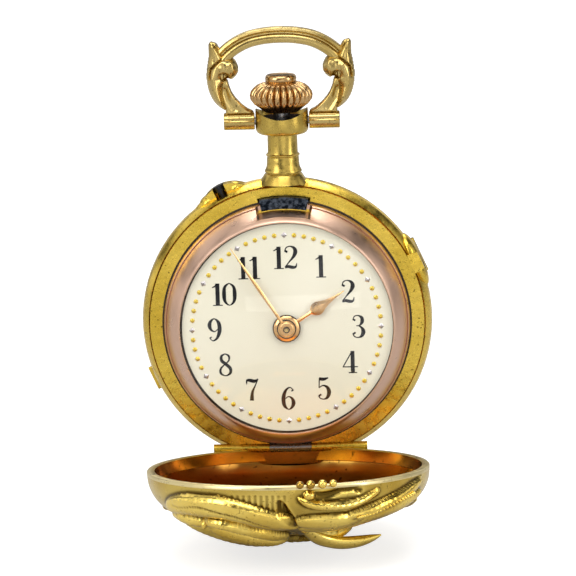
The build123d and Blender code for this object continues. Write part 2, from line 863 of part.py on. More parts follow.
# the leaf's outline in shares of the half width and of the arch's rise, each middle point on an arc
leaf_arc_shares = (
    ((1.026, 0.859), (1.13, 0.46), (1.148, 0.05)),
    ((1.148, 0.05), (1.12, -0.385), (0.87, -0.782)),
    ((0.87, -0.782), (0.89, -0.436), (0.757, -0.05)),
    ((0.757, -0.05), (0.687, 0.23), (0.817, 0.423)),
    ((0.817, 0.423), (0.93, 0.52), (1.026, 0.859)),
)
with BuildPart() as bow:
    with BuildLine(bow_plane):
        side_top = (bow_half_width, bow_waist)
        ThreePointArc(
            (0, bow_top),
            (bow_half_width * sin(pi / 4), bow_waist + (bow_top - bow_waist) * cos(pi / 4)),
            side_top,
        )
        TangentArc(side_top, (bow_foot_half, bow_foot_height), tangent=(0, -1))
    with BuildSketch(Plane(origin=(0, -pendant_height, bow_top), x_dir=(0, 1, 0), z_dir=(1, 0, 0))):
        quarter = [(bow_section_half * depth, bow_section_half * rise) for depth, rise in bow_section_shares]
        with BuildLine():
            Polyline(
                *quarter,
                *[(depth, -rise) for depth, rise in quarter[-2::-1]],
                *[(-depth, -rise) for depth, rise in quarter[1:]],
                *[(-depth, rise) for depth, rise in quarter[-2:0:-1]],
                close=True,
            )
        make_face()
    sweep()
    with BuildSketch(bow_plane.offset(-bow_leaf_thickness / 2)):
        with BuildLine():
            for arc in leaf_arc_shares:
                ThreePointArc(
                    *[
                        (bow_half_width * across_share, bow_waist + (bow_top - bow_waist) * up_share)
                        for across_share, up_share in arc
                    ]
                )
        make_face()
    extrude(amount=bow_leaf_thickness)
    with BuildSketch(Plane.YZ.offset(bow_tube_start)):
        with Locations((-pendant_height, bow_pivot_height)):
            Circle(bow_tube_radius)
    extrude(amount=bow_tube_end - bow_tube_start)
    mirror(about=Plane.YZ)
    for side in (-1, 1):
        with BuildSketch(Plane.YZ.offset(side * (bow_tube_start - overrun))):
            with Locations((-pendant_height, bow_pivot_height)):
                Circle(bow_pin_radius + running_fit)
        extrude(amount=side * (bow_tube_end - bow_tube_start + overrun - bow_pin_radius), mode=Mode.SUBTRACT)
save(bow, "bow")

# Crown: a fluted onion, ruled through its fluted sections, with a turned button on top
with BuildPart() as crown:
    loft(
        [
            toothed(
                Plane(origin=(0, -pendant_height, crown_bottom + (crown_top - crown_bottom) * up_share)),
                crown_flutes,
                crown_radius * out_share,
                (crown_radius - crown_flute_depth) * out_share,
            )
            for up_share, out_share in crown_shares
        ],
        ruled=True,
    )
    with BuildSketch(pendant_section):
        with BuildLine():
            Polyline(
                (0, crown_top - crown_button_height),
                (crown_button_radius, crown_top - crown_button_height),
                (crown_button_radius, crown_top + crown_button_height / 2),
                (crown_button_radius - crown_button_height / 2, crown_top + crown_button_height),
                (0, crown_top + crown_button_height),
                close=True,
            )
        make_face()
    revolve(axis=pendant_axis)
    with BuildSketch(Plane.XY.offset(crown_bottom - overrun)):
        with Locations((0, -pendant_height)):
            RegularPolygon(stem_radius, few_sides)
    extrude(amount=crown_top - crown_bottom + overrun, mode=Mode.SUBTRACT)
save(crown, "crown")

# Winding stem, with the pilot that turns in the plate
with BuildPart() as winding_stem:
    with BuildSketch(Plane.XY.offset(stem_end)):
        with Locations((0, -pendant_height)):
            RegularPolygon(stem_radius, few_sides)
    extrude(amount=crown_top - stem_end)
    with BuildSketch(Plane.XY.offset(pilot_end)):
        with Locations((0, -pendant_height)):
            RegularPolygon(pilot_radius, few_sides)
    extrude(amount=stem_end - pilot_end)
save(winding_stem, "winding_stem")

# Press sleeve: the tube that slides in the pendant with the crown and drives back the catch
with BuildPart() as press_sleeve:
    with BuildSketch(Plane.XY.offset(pendant_tenon_end + press_travel)):
        with Locations((0, -pendant_height)):
            Circle(sleeve_radius)
            RegularPolygon(stem_radius + 2 * running_fit, few_sides, mode=Mode.SUBTRACT)
    extrude(amount=crown_bottom - small_gap - pendant_tenon_end - press_travel)
save(press_sleeve, "press_sleeve")


def strip(name_plane, inner_radius, thickness, start_angle, sweep_angle):
    """The face of a bent strip that follows the case, between two angles."""
    outer_radius = inner_radius + thickness
    end_angle = start_angle + sweep_angle
    with BuildSketch(name_plane) as face:
        with BuildLine():
            CenterArc((0, 0), inner_radius, start_angle, sweep_angle)
            CenterArc((0, 0), outer_radius, start_angle, sweep_angle)
            Line(polar(inner_radius, start_angle), polar(outer_radius, start_angle))
            Line(polar(inner_radius, end_angle), polar(outer_radius, end_angle))
        make_face()
    return face.sketch


# Lock spring: a blued strip in the band, whose catch stands in its slot and holds the front cover
catch_start = 90 - catch_half_angle
catch_sweep = 2 * catch_half_angle
with BuildPart() as lock_spring:
    lock_plane = facing(0, 0, strip_low)
    extrude(
        strip(lock_plane, lock_strip_radius, strip_thickness, lock_tail_angle, 90 - lock_tail_angle),
        amount=strip_high - strip_low,
    )
    extrude(
        strip(
            facing(0, 0, spring_groove_low + small_gap),
            lock_strip_radius,
            catch_root_radius - lock_strip_radius,
            catch_start,
            catch_sweep,
        ),
        amount=spring_groove_high - spring_groove_low - 2 * small_gap,
    )
    extrude(
        strip(
            facing(0, 0, spring_groove_low + small_gap),
            catch_inner_radius,
            catch_root_radius - catch_inner_radius,
            catch_start,
            catch_sweep,
        ),
        amount=catch_top - spring_groove_low - small_gap,
    )
    extrude(
        strip(
            facing(0, 0, band_front + 3 * small_gap),
            catch_inner_radius,
            catch_outer_radius - catch_inner_radius,
            catch_start,
            catch_sweep,
        ),
        amount=catch_top - band_front - 3 * small_gap,
    )
    extrude(
        strip(
            facing(0, 0, catch_lip_low),
            catch_lip_radius,
            catch_root_radius - catch_lip_radius,
            catch_start,
            catch_sweep,
        ),
        amount=catch_lip_thickness,
    )
    with BuildSketch(Plane.XY.offset(lock_strip_radius - overrun)):
        with Locations((0, -pendant_height)):
            Circle(stem_radius + 2 * small_gap)
    extrude(amount=2 * overrun, mode=Mode.SUBTRACT)
save(lock_spring, "lock_spring")

# Fly spring: the strip in the band that throws the front cover open
with BuildPart() as fly_spring:
    extrude(
        strip(facing(0, 0, strip_low), lock_strip_radius, strip_thickness, fly_tail_angle, fly_sweep_angle),
        amount=strip_high - strip_low,
    )
save(fly_spring, "fly_spring")

# Setting pin: pressed with a nail to bring the hands into gear
with BuildPart() as set_pin:
    with BuildSketch(across(widest_height, guard_angle).offset(set_pin_inner)):
        Circle(set_pin_radius)
    extrude(amount=case_radius + 2 * small_gap - set_pin_inner)
    with BuildSketch(across(widest_height, guard_angle).offset(case_radius + small_gap)):
        Circle(set_pin_cap_radius)
    extrude(amount=set_pin_outer - case_radius - small_gap)
save(set_pin, "set_pin")


def hand_plane(height, angle):
    """The plane of a hand: y runs along it, at an angle clockwise from 12."""
    turn = radians(angle)
    return Plane(origin=(0, -height, 0), x_dir=(cos(turn), 0, -sin(turn)), z_dir=(0, -1, 0))


def hand_side(length, half_widths, places, side):
    """One side of a hand: straight to its swell, two arcs round it and straight on to the tip."""
    root, neck, belly, shoulder, tip = [side * width for width in half_widths]
    at_root, at_neck, at_belly, at_shoulder = [length * place for place in places]
    Line((root, at_root), (neck, at_neck))
    ThreePointArc((neck, at_neck), ((neck + 2 * belly) / 3, (at_neck + at_belly) / 2), (belly, at_belly))
    ThreePointArc(
        (belly, at_belly), ((shoulder + 2 * belly) / 3, (at_belly + at_shoulder) / 2), (shoulder, at_shoulder)
    )
    Line((shoulder, at_shoulder), (tip, length))


# Hour hand: a pear-shaped swell and a long taper on a round boss
with BuildPart() as hour_hand:
    with BuildSketch(hand_plane(hour_hand_height, hour_angle)):
        with BuildLine():
            for side in (-1, 1):
                hand_side(
                    hour_hand_length,
                    (
                        hand_root_width / 2,
                        hand_neck_width / 2,
                        hour_bulb_width / 2,
                        hand_neck_width / 2,
                        hand_tip_width / 2,
                    ),
                    hour_place_shares,
                    side,
                )
            Line((-hand_root_width / 2, 0), (hand_root_width / 2, 0))
            Line((-hand_tip_width / 2, hour_hand_length), (hand_tip_width / 2, hour_hand_length))
        make_face()
        Circle(hour_boss_radius)
        Circle(hour_pipe_radius, mode=Mode.SUBTRACT)
    extrude(amount=hour_hand_thickness)
save(hour_hand, "hour_hand")

# Minute hand: a long slender leaf on a smaller boss
with BuildPart() as minute_hand:
    with BuildSketch(hand_plane(minute_hand_height, minute_angle)):
        with BuildLine():
            for side in (-1, 1):
                hand_side(
                    minute_hand_length,
                    (
                        hand_root_width / 2,
                        hand_neck_width / 3,
                        minute_hand_width / 2,
                        minute_hand_width / 3,
                        hand_tip_width / 2,
                    ),
                    minute_place_shares,
                    side,
                )
            Line((-hand_root_width / 2, 0), (hand_root_width / 2, 0))
            Line((-hand_tip_width / 2, minute_hand_length), (hand_tip_width / 2, minute_hand_length))
        make_face()
        Circle(minute_boss_radius)
        Circle(cannon_radius, mode=Mode.SUBTRACT)
    extrude(amount=minute_hand_thickness)
save(minute_hand, "minute_hand")


def gear(plane, module, teeth, turn=0.0):
    """The outline of a wheel or pinion from its module and its number of teeth."""
    pitch = module * teeth / 2
    return toothed(
        plane, teeth, pitch + tip_height_share * module, pitch - root_depth_share * module, turn
    )


def crossings(plane, rim, hub, arms):
    """The openings between the arms of a wheel."""
    half_step = 180 / arms
    with BuildSketch(plane) as openings:
        for index in range(arms):
            middle = index * 2 * half_step
            rim_half = half_step - degrees(wheel_arm_width / rim) / 2
            hub_half = half_step - degrees(wheel_arm_width / hub) / 2
            with BuildLine():
                Polyline(
                    polar(rim, middle - rim_half),
                    polar(rim, middle - rim_half / 2),
                    polar(rim, middle),
                    polar(rim, middle + rim_half / 2),
                    polar(rim, middle + rim_half),
                    polar(hub, middle + hub_half),
                    polar(hub, middle - hub_half),
                    close=True,
                )
            make_face()
    return openings.sketch


def rod(place, height, radius):
    """The outline of a small piece or hole with a few flat sides."""
    with BuildSketch(facing(*place, height)) as outline:
        RegularPolygon(radius, few_sides)
    return outline.sketch


def pin(place, height, radius):
    """The outline of a round piece or hole on the axis that a piece turns about."""
    with BuildSketch(facing(*place, height)) as outline:
        Circle(radius)
    return outline.sketch


def onward(place, distance, direction):
    """A centre at a distance and direction from another."""
    step_x, step_z = polar(distance, direction)
    return place[0] + step_x, place[1] + step_z


def mesh_turn(direction, driver_teeth, driver_turn, teeth):
    """The turn that puts a tooth space of one wheel where the tooth of its driver points."""
    phase = ((direction - driver_turn) * driver_teeth / 360) % 1
    return direction + 180 - (0.5 - phase) * 360 / teeth


# Centres of the train, each from the one that drives it
centre = (0.0, 0.0)
barrel_place = onward(centre, barrel_module * (barrel_teeth + centre_leaves) / 2, barrel_direction)
third_place = onward(centre, centre_module * (centre_teeth + third_leaves) / 2, third_direction)
fourth_place = onward(third_place, third_module * (third_teeth + fourth_leaves) / 2, fourth_direction)
escape_place = onward(fourth_place, fourth_module * (fourth_teeth + escape_leaves) / 2, escape_direction)
balance_place = (balance_x, balance_z)
pallet_place = (pallet_x, pallet_z)
minute_place = onward(centre, motion_distance, motion_direction)
crown_wheel_place = (crown_wheel_x, crown_wheel_z)
cock_foot_place = (cock_foot_x, cock_foot_z)
plate_low = ledge_top
plate_top = dial_height - dial_thickness
pivot_top = plate_low + pivot_depth
jewelled_places = (third_place, fourth_place, escape_place)

# Main plate: the movement's base, with a flange on the ledge of the case and a recess for the motion work
with BuildPart() as main_plate:
    with BuildSketch(facing(*centre, plate_low)):
        Circle(plate_radius)
    extrude(amount=plate_top - plate_low)
    with BuildSketch(facing(*centre, plate_low)):
        Circle(flange_radius)
    extrude(amount=flange_thickness)
    with BuildSketch(facing(*centre, plate_recess_floor)):
        Circle(plate_recess_radius)
        with Locations(minute_place):
            RegularPolygon(arbor_radius, few_sides, mode=Mode.SUBTRACT)
    extrude(amount=plate_top, mode=Mode.SUBTRACT)
    # the block that holds the pilot of the stem
    block_top = stem_end - press_travel - small_gap
    with BuildSketch(facing(0, block_top, pendant_height - stem_block_half)):
        Rectangle(2 * stem_block_half, block_top - pilot_end, align=(Align.CENTER, Align.MAX))
    extrude(amount=plate_low - pendant_height + stem_block_half)
    with BuildSketch(Plane.XY.offset(pilot_end - overrun)):
        with Locations((0, -pendant_height)):
            RegularPolygon(pilot_radius + 2 * running_fit, few_sides)
    extrude(amount=block_top - pilot_end + 2 * overrun, mode=Mode.SUBTRACT)
    # the holes of the centre arbor, the pivots and the dial feet
    extrude(
        rod(centre, plate_low - overrun, arbor_radius + 2 * running_fit),
        amount=overrun + plate_top,
        mode=Mode.SUBTRACT,
    )
    for place in (*jewelled_places, pallet_place, balance_place):
        extrude(
            rod(place, plate_low - overrun, pivot_radius + 2 * running_fit),
            amount=overrun + pivot_depth + small_gap,
            mode=Mode.SUBTRACT,
        )
    extrude(
        rod(barrel_place, plate_low - overrun, barrel_arbor_radius + 2 * running_fit),
        amount=overrun + pivot_depth + small_gap,
        mode=Mode.SUBTRACT,
    )
    with BuildSketch(facing(*centre, plate_top - dial_foot_length - small_gap)):
        with PolarLocations(dial_foot_place, dial_feet, start_angle=dial_foot_angle):
            RegularPolygon(dial_foot_radius + 2 * running_fit, few_sides)
    extrude(amount=overrun + dial_foot_length, mode=Mode.SUBTRACT)
save(main_plate, "main_plate")

# Barrel bridge: carries the barrel, the centre wheel and the winding wheels, cut back round the stem
with BuildPart() as barrel_bridge:
    with BuildSketch(facing(*centre, bridge_low)):
        with BuildLine():
            CenterArc(centre, bridge_radius, barrel_bridge_start, barrel_bridge_sweep)
            Polyline(
                polar(bridge_radius, barrel_bridge_start + barrel_bridge_sweep),
                (winding_slot_half, sliding_pinion_low - 3 * small_gap),
                (-winding_slot_half, sliding_pinion_low - 3 * small_gap),
                (-winding_slot_half, -winding_slot_half),
                (winding_slot_half, -1.2 * winding_slot_half),
                polar(bridge_radius, barrel_bridge_start),
            )
        make_face()
    extrude(amount=bridge_high - bridge_low)
    for (foot_start, foot_sweep), foot_inner in zip(
        barrel_foot_turns, (barrel_foot_inner, barrel_side_foot_inner)
    ):
        foot_plane = facing(*centre, bridge_high)
        extrude(
            strip(foot_plane, foot_inner, bridge_radius - foot_inner, foot_start, foot_sweep),
            amount=plate_low - bridge_high,
        )
    for place, hole in (
        (centre, pivot_radius),
        (barrel_place, barrel_arbor_radius),
        (crown_wheel_place, arbor_radius),
    ):
        extrude(
            rod(place, bridge_low - overrun, hole + 2 * running_fit),
            amount=bridge_high - bridge_low + 2 * overrun,
            mode=Mode.SUBTRACT,
        )
save(barrel_bridge, "barrel_bridge")

# Train bridge: carries the third, fourth and escape wheels in its jewels
with BuildPart() as train_bridge:
    with BuildSketch(facing(*centre, bridge_low)):
        with BuildLine():
            CenterArc(centre, bridge_radius, train_bridge_start, train_bridge_sweep)
            Polyline(
                polar(bridge_radius, train_bridge_start + train_bridge_sweep),
                (winding_slot_half / 4, -1.7 * winding_slot_half),
                (fourth_place[0] + 2 * jewel_radius, fourth_place[1] + 3 * jewel_radius),
                (escape_place[0] - jewel_radius, escape_place[1] + 2.5 * jewel_radius),
                polar(bridge_radius, train_bridge_start),
            )
        make_face()
    extrude(amount=bridge_high - bridge_low)
    extrude(
        strip(
            facing(*centre, bridge_high),
            train_foot_inner,
            bridge_radius - train_foot_inner,
            train_foot_start,
            train_foot_sweep,
        ),
        amount=plate_low - bridge_high,
    )
    for place in jewelled_places:
        extrude(
            rod(place, bridge_low - overrun, jewel_radius),
            amount=overrun + jewel_thickness,
            mode=Mode.SUBTRACT,
        )
        extrude(
            rod(place, bridge_low, pivot_radius + 2 * running_fit),
            amount=bridge_high - bridge_low + overrun,
            mode=Mode.SUBTRACT,
        )
save(train_bridge, "train_bridge")

# Balance cock: one foot on the plate and an arm over the balance
with BuildPart() as balance_cock:
    with BuildSketch(facing(*centre, cock_low)):
        with Locations(cock_foot_place):
            Circle(cock_foot_radius)
        with Locations(balance_place):
            Circle(cock_eye_radius)
        make_hull()
    extrude(amount=cock_high - cock_low)
    with BuildSketch(facing(*cock_foot_place, cock_high)):
        Circle(cock_foot_radius)
    extrude(amount=plate_low - cock_high)
    extrude(
        rod(balance_place, cock_low - overrun, jewel_radius),
        amount=overrun + jewel_thickness,
        mode=Mode.SUBTRACT,
    )
    extrude(
        rod(balance_place, cock_low, pivot_radius + 2 * running_fit),
        amount=cock_high - cock_low + overrun,
        mode=Mode.SUBTRACT,
    )
save(balance_cock, "balance_cock")

# Jewels: ruby end stones set in the train bridge and the balance cock
with BuildPart() as jewels:
    for place in jewelled_places:
        extrude(rod(place, bridge_low, jewel_radius), amount=jewel_thickness)
    extrude(rod(balance_place, cock_low, jewel_radius), amount=jewel_thickness)
save(jewels, "jewels")

# Regulator: a ring round the balance jewel with a pointer over the cock's arm
pointer_way = degrees(atan2(cock_foot_z - balance_z, cock_foot_x - balance_x))
with BuildPart() as regulator:
    regulator_plane = facing(*balance_place, cock_low - small_gap - regulator_thickness)
    extrude(
        toothed(
            regulator_plane,
            few_sides,
            regulator_radius,
            regulator_radius,
            bore=jewel_radius + 2 * small_gap,
        ),
        amount=regulator_thickness,
    )
    with BuildSketch(regulator_plane):
        with BuildLine():
            Polyline(
                polar(regulator_radius - 2 * small_gap, pointer_way - regulator_spread),
                polar(regulator_length, pointer_way),
                polar(regulator_radius - 2 * small_gap, pointer_way + regulator_spread),
                close=True,
            )
        make_face()
    extrude(amount=regulator_thickness)
save(regulator, "regulator")

# Barrel: the toothed drum that holds the mainspring. It is closed, so it is solid but for its bore.
with BuildPart() as barrel:
    extrude(
        gear(facing(*barrel_place, drum_low), barrel_module, barrel_teeth, barrel_turn),
        amount=drum_tooth_width,
    )
    with BuildSketch(facing(*barrel_place, drum_low)):
        Circle(drum_radius)
    extrude(amount=drum_high - drum_low)
    extrude(
        rod(barrel_place, drum_low - overrun, barrel_arbor_radius + 2 * running_fit),
        amount=drum_high - drum_low + 2 * overrun,
        mode=Mode.SUBTRACT,
    )
save(barrel, "barrel")

# Barrel arbor, with the ratchet wheel on its square end
ratchet_low = bridge_low - small_gap - winding_wheel_thickness
with BuildPart() as barrel_arbor:
    extrude(rod(barrel_place, ratchet_low, barrel_arbor_radius), amount=plate_low + pivot_depth - ratchet_low)
save(barrel_arbor, "barrel_arbor")

with BuildPart() as ratchet_wheel:
    extrude(
        gear(facing(*barrel_place, ratchet_low), winding_module, ratchet_teeth, ratchet_turn),
        amount=winding_wheel_thickness,
    )
    extrude(
        rod(barrel_place, ratchet_low - overrun, barrel_arbor_radius),
        amount=winding_wheel_thickness + 2 * overrun,
        mode=Mode.SUBTRACT,
    )
save(ratchet_wheel, "ratchet_wheel")

# Crown wheel: on its stud between the winding pinion and the ratchet wheel
crown_wheel_way = degrees(atan2(crown_wheel_z - barrel_place[1], crown_wheel_x - barrel_place[0]))
with BuildPart() as crown_wheel:
    extrude(
        gear(
            facing(*crown_wheel_place, ratchet_low),
            winding_module,
            crown_wheel_teeth,
            mesh_turn(crown_wheel_way, ratchet_teeth, ratchet_turn, crown_wheel_teeth),
        ),
        amount=winding_wheel_thickness,
    )
    extrude(pin(crown_wheel_place, ratchet_low, arbor_radius), amount=bridge_high - ratchet_low)
save(crown_wheel, "crown_wheel")

# Click: the pawl that keeps the ratchet wheel from running back, and the wire that presses on it
click_place = onward(barrel_place, click_reach, click_direction)
click_beak_reach = winding_module * ratchet_teeth / 2 + click_beak_gap
click_beak = onward(barrel_place, click_beak_reach, click_direction + click_lead)
with BuildPart() as click:
    with BuildSketch(facing(*centre, ratchet_low)):
        with Locations(click_place):
            Circle(click_radius)
        with Locations(click_beak):
            RegularPolygon(click_radius / 4, few_sides)
        make_hull()
    extrude(amount=winding_wheel_thickness)
save(click, "click")

with BuildPart() as click_spring:
    spring_start = onward(click_place, click_radius + small_gap, click_spring_way)
    spring_end = onward(spring_start, click_spring_length, click_spring_way - click_spring_bend)
    side_x, side_z = polar(click_spring_width, click_spring_way + click_spring_bend)
    with BuildSketch(facing(*centre, ratchet_low)):
        with BuildLine():
            Polyline(
                spring_start,
                spring_end,
                (spring_end[0] + side_x, spring_end[1] + side_z),
                (spring_start[0] + side_x, spring_start[1] + side_z),
                close=True,
            )
        make_face()
        with Locations(spring_end):
            RegularPolygon(click_radius, few_sides)
    extrude(amount=winding_wheel_thickness)
save(click_spring, "click_spring")

# Winding pinion and sliding pinion, both on the stem
for name, low, high, radius in (
    ("winding_pinion", winding_pinion_low, winding_pinion_high, winding_pinion_radius),
    ("sliding_pinion", sliding_pinion_low, winding_pinion_low - 3 * small_gap, sliding_pinion_radius),
):
    with BuildPart() as stem_pinion:
        stem_plane = Plane(origin=(0, -pendant_height, low))
        extrude(
            toothed(stem_plane, winding_pinion_teeth, radius, radius - winding_tooth_depth),
            amount=high - low,
        )
        with BuildSketch(stem_plane):
            RegularPolygon(stem_radius + 2 * running_fit, few_sides)
        extrude(amount=high - low, mode=Mode.SUBTRACT)
    save(stem_pinion, name)

# The going train. Each wheel stands on its arbor with its pinion: height of the wheel, place, module, teeth,
# turn, then the pinion's module, leaves, turn, height and width.
pinion_width = 2 * pinion_margin + wheel_thickness
pivot_low = bridge_low + jewel_thickness + small_gap
centre_turn = mesh_turn(barrel_direction + 180, barrel_teeth, barrel_turn, centre_leaves)
third_turn = mesh_turn(third_direction, centre_teeth, centre_turn, third_leaves)
fourth_turn = mesh_turn(fourth_direction, third_teeth, third_turn, fourth_leaves)
escape_turn = mesh_turn(escape_direction, fourth_teeth, fourth_turn, escape_leaves)
for name, place, wheel, pinion, arbor_low, arbor_high in (
    (
        "centre_wheel",
        centre,
        (centre_module, centre_teeth, centre_turn, centre_wheel_height),
        (barrel_module, centre_leaves, centre_turn, drum_low, drum_tooth_width + pinion_margin),
        bridge_high + small_gap,
        plate_recess_floor,
    ),
    (
        "third_wheel",
        third_place,
        (third_module, third_teeth, third_turn, third_wheel_height),
        (centre_module, third_leaves, third_turn, centre_wheel_height - pinion_margin, pinion_width),
        bridge_high + small_gap,
        plate_low - small_gap,
    ),
    (
        "fourth_wheel",
        fourth_place,
        (fourth_module, fourth_teeth, fourth_turn, fourth_wheel_height),
        (third_module, fourth_leaves, fourth_turn, third_wheel_height - pinion_margin, pinion_width),
        bridge_high + small_gap,
        plate_low - small_gap,
    ),
):
    with BuildPart() as train_wheel:
        module, teeth, turn, height = wheel
        extrude(gear(facing(*place, height), module, teeth, turn), amount=wheel_thickness)
        extrude(
            crossings(
                facing(*place, height - overrun),
                module * teeth / 2 - wheel_rim_width,
                wheel_hub_radius,
                wheel_arms,
            ),
            amount=wheel_thickness + 2 * overrun,
            mode=Mode.SUBTRACT,
        )
        module, teeth, turn, height, width = pinion
        extrude(gear(facing(*place, height), module, teeth, turn), amount=width)
        extrude(rod(place, arbor_low, arbor_radius), amount=arbor_high - arbor_low)
        if place == centre:
            extrude(rod(place, arbor_low, centre_pin_radius), amount=hub_top - arbor_low)
            extrude(rod(place, bridge_low, pivot_radius), amount=arbor_low - bridge_low)
        else:
            extrude(rod(place, pivot_low, pivot_radius), amount=arbor_low - pivot_low)
            extrude(pin(place, arbor_high, pivot_radius), amount=pivot_top - arbor_high)
    save(train_wheel, name)

# Escape wheel: fifteen raked teeth on a small pinion
with BuildPart() as escape_wheel:
    extrude(
        toothed(
            facing(*escape_place, escape_wheel_height),
            escape_teeth,
            escape_radius,
            escape_radius - escape_tooth_depth,
            lean=escape_lean_share,
        ),
        amount=wheel_thickness,
    )
    escape_pinion_plane = facing(*escape_place, fourth_wheel_height - pinion_margin)
    extrude(gear(escape_pinion_plane, fourth_module, escape_leaves, escape_turn), amount=pinion_width)
    extrude(
        rod(escape_place, bridge_high + small_gap, arbor_radius * 0.8),
        amount=plate_low - bridge_high - 2 * small_gap,
    )
    extrude(rod(escape_place, pivot_low, pivot_radius), amount=bridge_high + small_gap - pivot_low)
    extrude(
        pin(escape_place, plate_low - small_gap, pivot_radius),
        amount=small_gap + pivot_depth,
    )
save(escape_wheel, "escape_wheel")

# Pallet fork: two arms with the pallets over the escape wheel and a lever whose fork faces the roller
fork_way = degrees(atan2(balance_z - pallet_z, balance_x - pallet_x))
fork_length = sqrt((balance_x - pallet_x) ** 2 + (balance_z - pallet_z) ** 2) - impulse_place
arms_way = degrees(atan2(escape_place[1] - pallet_z, escape_place[0] - pallet_x))
with BuildPart() as pallet_fork:
    lever_plane = Plane(
        origin=(pallet_x, -pallet_height, pallet_z),
        x_dir=(cos(radians(fork_way)), 0, sin(radians(fork_way))),
        z_dir=(0, -1, 0),
    )
    with BuildSketch(lever_plane):
        with BuildLine():
            Polyline(
                (0, -lever_width),
                (fork_length - 4 * impulse_radius, -lever_width),
                (fork_length + impulse_radius, -3 * lever_width),
                (fork_length + impulse_radius, -2 * impulse_radius),
                (fork_length - 2 * impulse_radius, -2 * impulse_radius),
                (fork_length - 2 * impulse_radius, 2 * impulse_radius),
                (fork_length + impulse_radius, 2 * impulse_radius),
                (fork_length + impulse_radius, 3 * lever_width),
                (fork_length - 4 * impulse_radius, lever_width),
                (0, lever_width),
                close=True,
            )
        make_face()
    extrude(amount=pallet_thickness)
    arm_plane = Plane(
        origin=(pallet_x, -pallet_height, pallet_z),
        x_dir=(cos(radians(arms_way)), 0, sin(radians(arms_way))),
        z_dir=(0, -1, 0),
    )
    with BuildSketch(arm_plane):
        with BuildLine():
            Polyline(
                *[
                    (pallet_reach * along, pallet_span * aside)
                    for along, aside in pallet_shares
                ],
                *[
                    (pallet_reach * along, -pallet_span * aside)
                    for along, aside in reversed(pallet_shares)
                ],
                close=True,
            )
        make_face()
    extrude(amount=pallet_thickness)
    arbor_low = pallet_cock_low + pallet_cock_thickness + small_gap
    extrude(rod(pallet_place, arbor_low, arbor_radius * 0.6), amount=plate_low - small_gap - arbor_low)
    extrude(rod(pallet_place, pallet_cock_low, pivot_radius), amount=arbor_low - pallet_cock_low)
    extrude(pin(pallet_place, plate_low - small_gap, pivot_radius), amount=small_gap + pivot_depth)
save(pallet_fork, "pallet_fork")

# Pallet cock: a small bar with one foot that holds the fork's other pivot
with BuildPart() as pallet_cock:
    with BuildSketch(facing(*centre, pallet_cock_low)):
        for place in (pallet_place, (pallet_foot_x, pallet_foot_z)):
            with Locations(place):
                RegularPolygon(pallet_foot_radius, few_sides)
        make_hull()
    extrude(amount=pallet_cock_thickness)
    extrude(
        rod((pallet_foot_x, pallet_foot_z), pallet_cock_low, pallet_foot_radius),
        amount=plate_low - pallet_cock_low,
    )
    extrude(
        rod(pallet_place, pallet_cock_low - overrun, pivot_radius + 2 * running_fit),
        amount=pallet_cock_thickness + 2 * overrun,
        mode=Mode.SUBTRACT,
    )
save(pallet_cock, "pallet_cock")

# Balance: the rimmed wheel on its staff, with the roller and its impulse pin
with BuildPart() as balance_wheel:
    with BuildSketch(facing(*balance_place, balance_low)):
        Circle(balance_radius)
        Circle(balance_radius - balance_rim, mode=Mode.SUBTRACT)
        Rectangle(2 * balance_radius - balance_rim, 2 * wheel_arm_width)
        RegularPolygon(wheel_hub_radius, few_sides)
    extrude(amount=balance_high - balance_low)
    extrude(rod(balance_place, roller_height, roller_radius), amount=wheel_thickness)
    extrude(
        rod(balance_place, cock_high + small_gap, arbor_radius * 0.6),
        amount=plate_low - cock_high - 2 * small_gap,
    )
    staff_low = cock_low + jewel_thickness + small_gap
    extrude(rod(balance_place, staff_low, pivot_radius), amount=pivot_top - staff_low)
    impulse_centre = onward(balance_place, impulse_place, fork_way + 180)
    extrude(
        rod(impulse_centre, pallet_height, impulse_radius),
        amount=roller_height - pallet_height + wheel_thickness / 2,
    )
save(balance_wheel, "balance_wheel")

# Hairspring: a flat spiral from the collet to the stud under the cock
spiral_points = [
    (
        hairspring_bore + (hairspring_radius - hairspring_bore) * index / (few_sides * hairspring_turns),
        360 * index / few_sides,
    )
    for index in range(few_sides * hairspring_turns + 1)
]
with BuildPart() as hairspring:
    with BuildSketch(facing(*balance_place, hairspring_low)):
        with BuildLine():
            Polyline(
                *[polar(radius, angle) for radius, angle in spiral_points],
                *[polar(radius + hairspring_strip, angle) for radius, angle in reversed(spiral_points)],
                close=True,
            )
        make_face()
    extrude(amount=hairspring_high - hairspring_low)
    with BuildSketch(facing(*balance_place, cock_high)):
        with Locations((hairspring_radius, 0)):
            Rectangle(2 * arbor_radius, arbor_radius, align=(Align.MIN, Align.CENTER))
    extrude(amount=hairspring_high - cock_high)
save(hairspring, "hairspring")

# Motion work under the dial: the cannon pinion with its tube, the minute wheel and the hour wheel
cannon_module = 2 * motion_distance / (minute_teeth + cannon_leaves)
hour_module = 2 * motion_distance / (hour_teeth + minute_leaves)
cannon_height = plate_recess_floor + small_gap
minute_wheel_height = cannon_height + small_gap
hour_wheel_height = cannon_height + motion_pinion_width + small_gap
with BuildPart() as cannon_pinion:
    extrude(gear(facing(*centre, cannon_height), cannon_module, cannon_leaves), amount=motion_pinion_width)
    extrude(
        rod(centre, cannon_height, cannon_radius),
        amount=minute_hand_height + minute_hand_thickness - cannon_height,
    )
    extrude(
        rod(centre, cannon_height - overrun, centre_pin_radius + 2 * running_fit),
        amount=minute_hand_height + overrun,
        mode=Mode.SUBTRACT,
    )
save(cannon_pinion, "cannon_pinion")

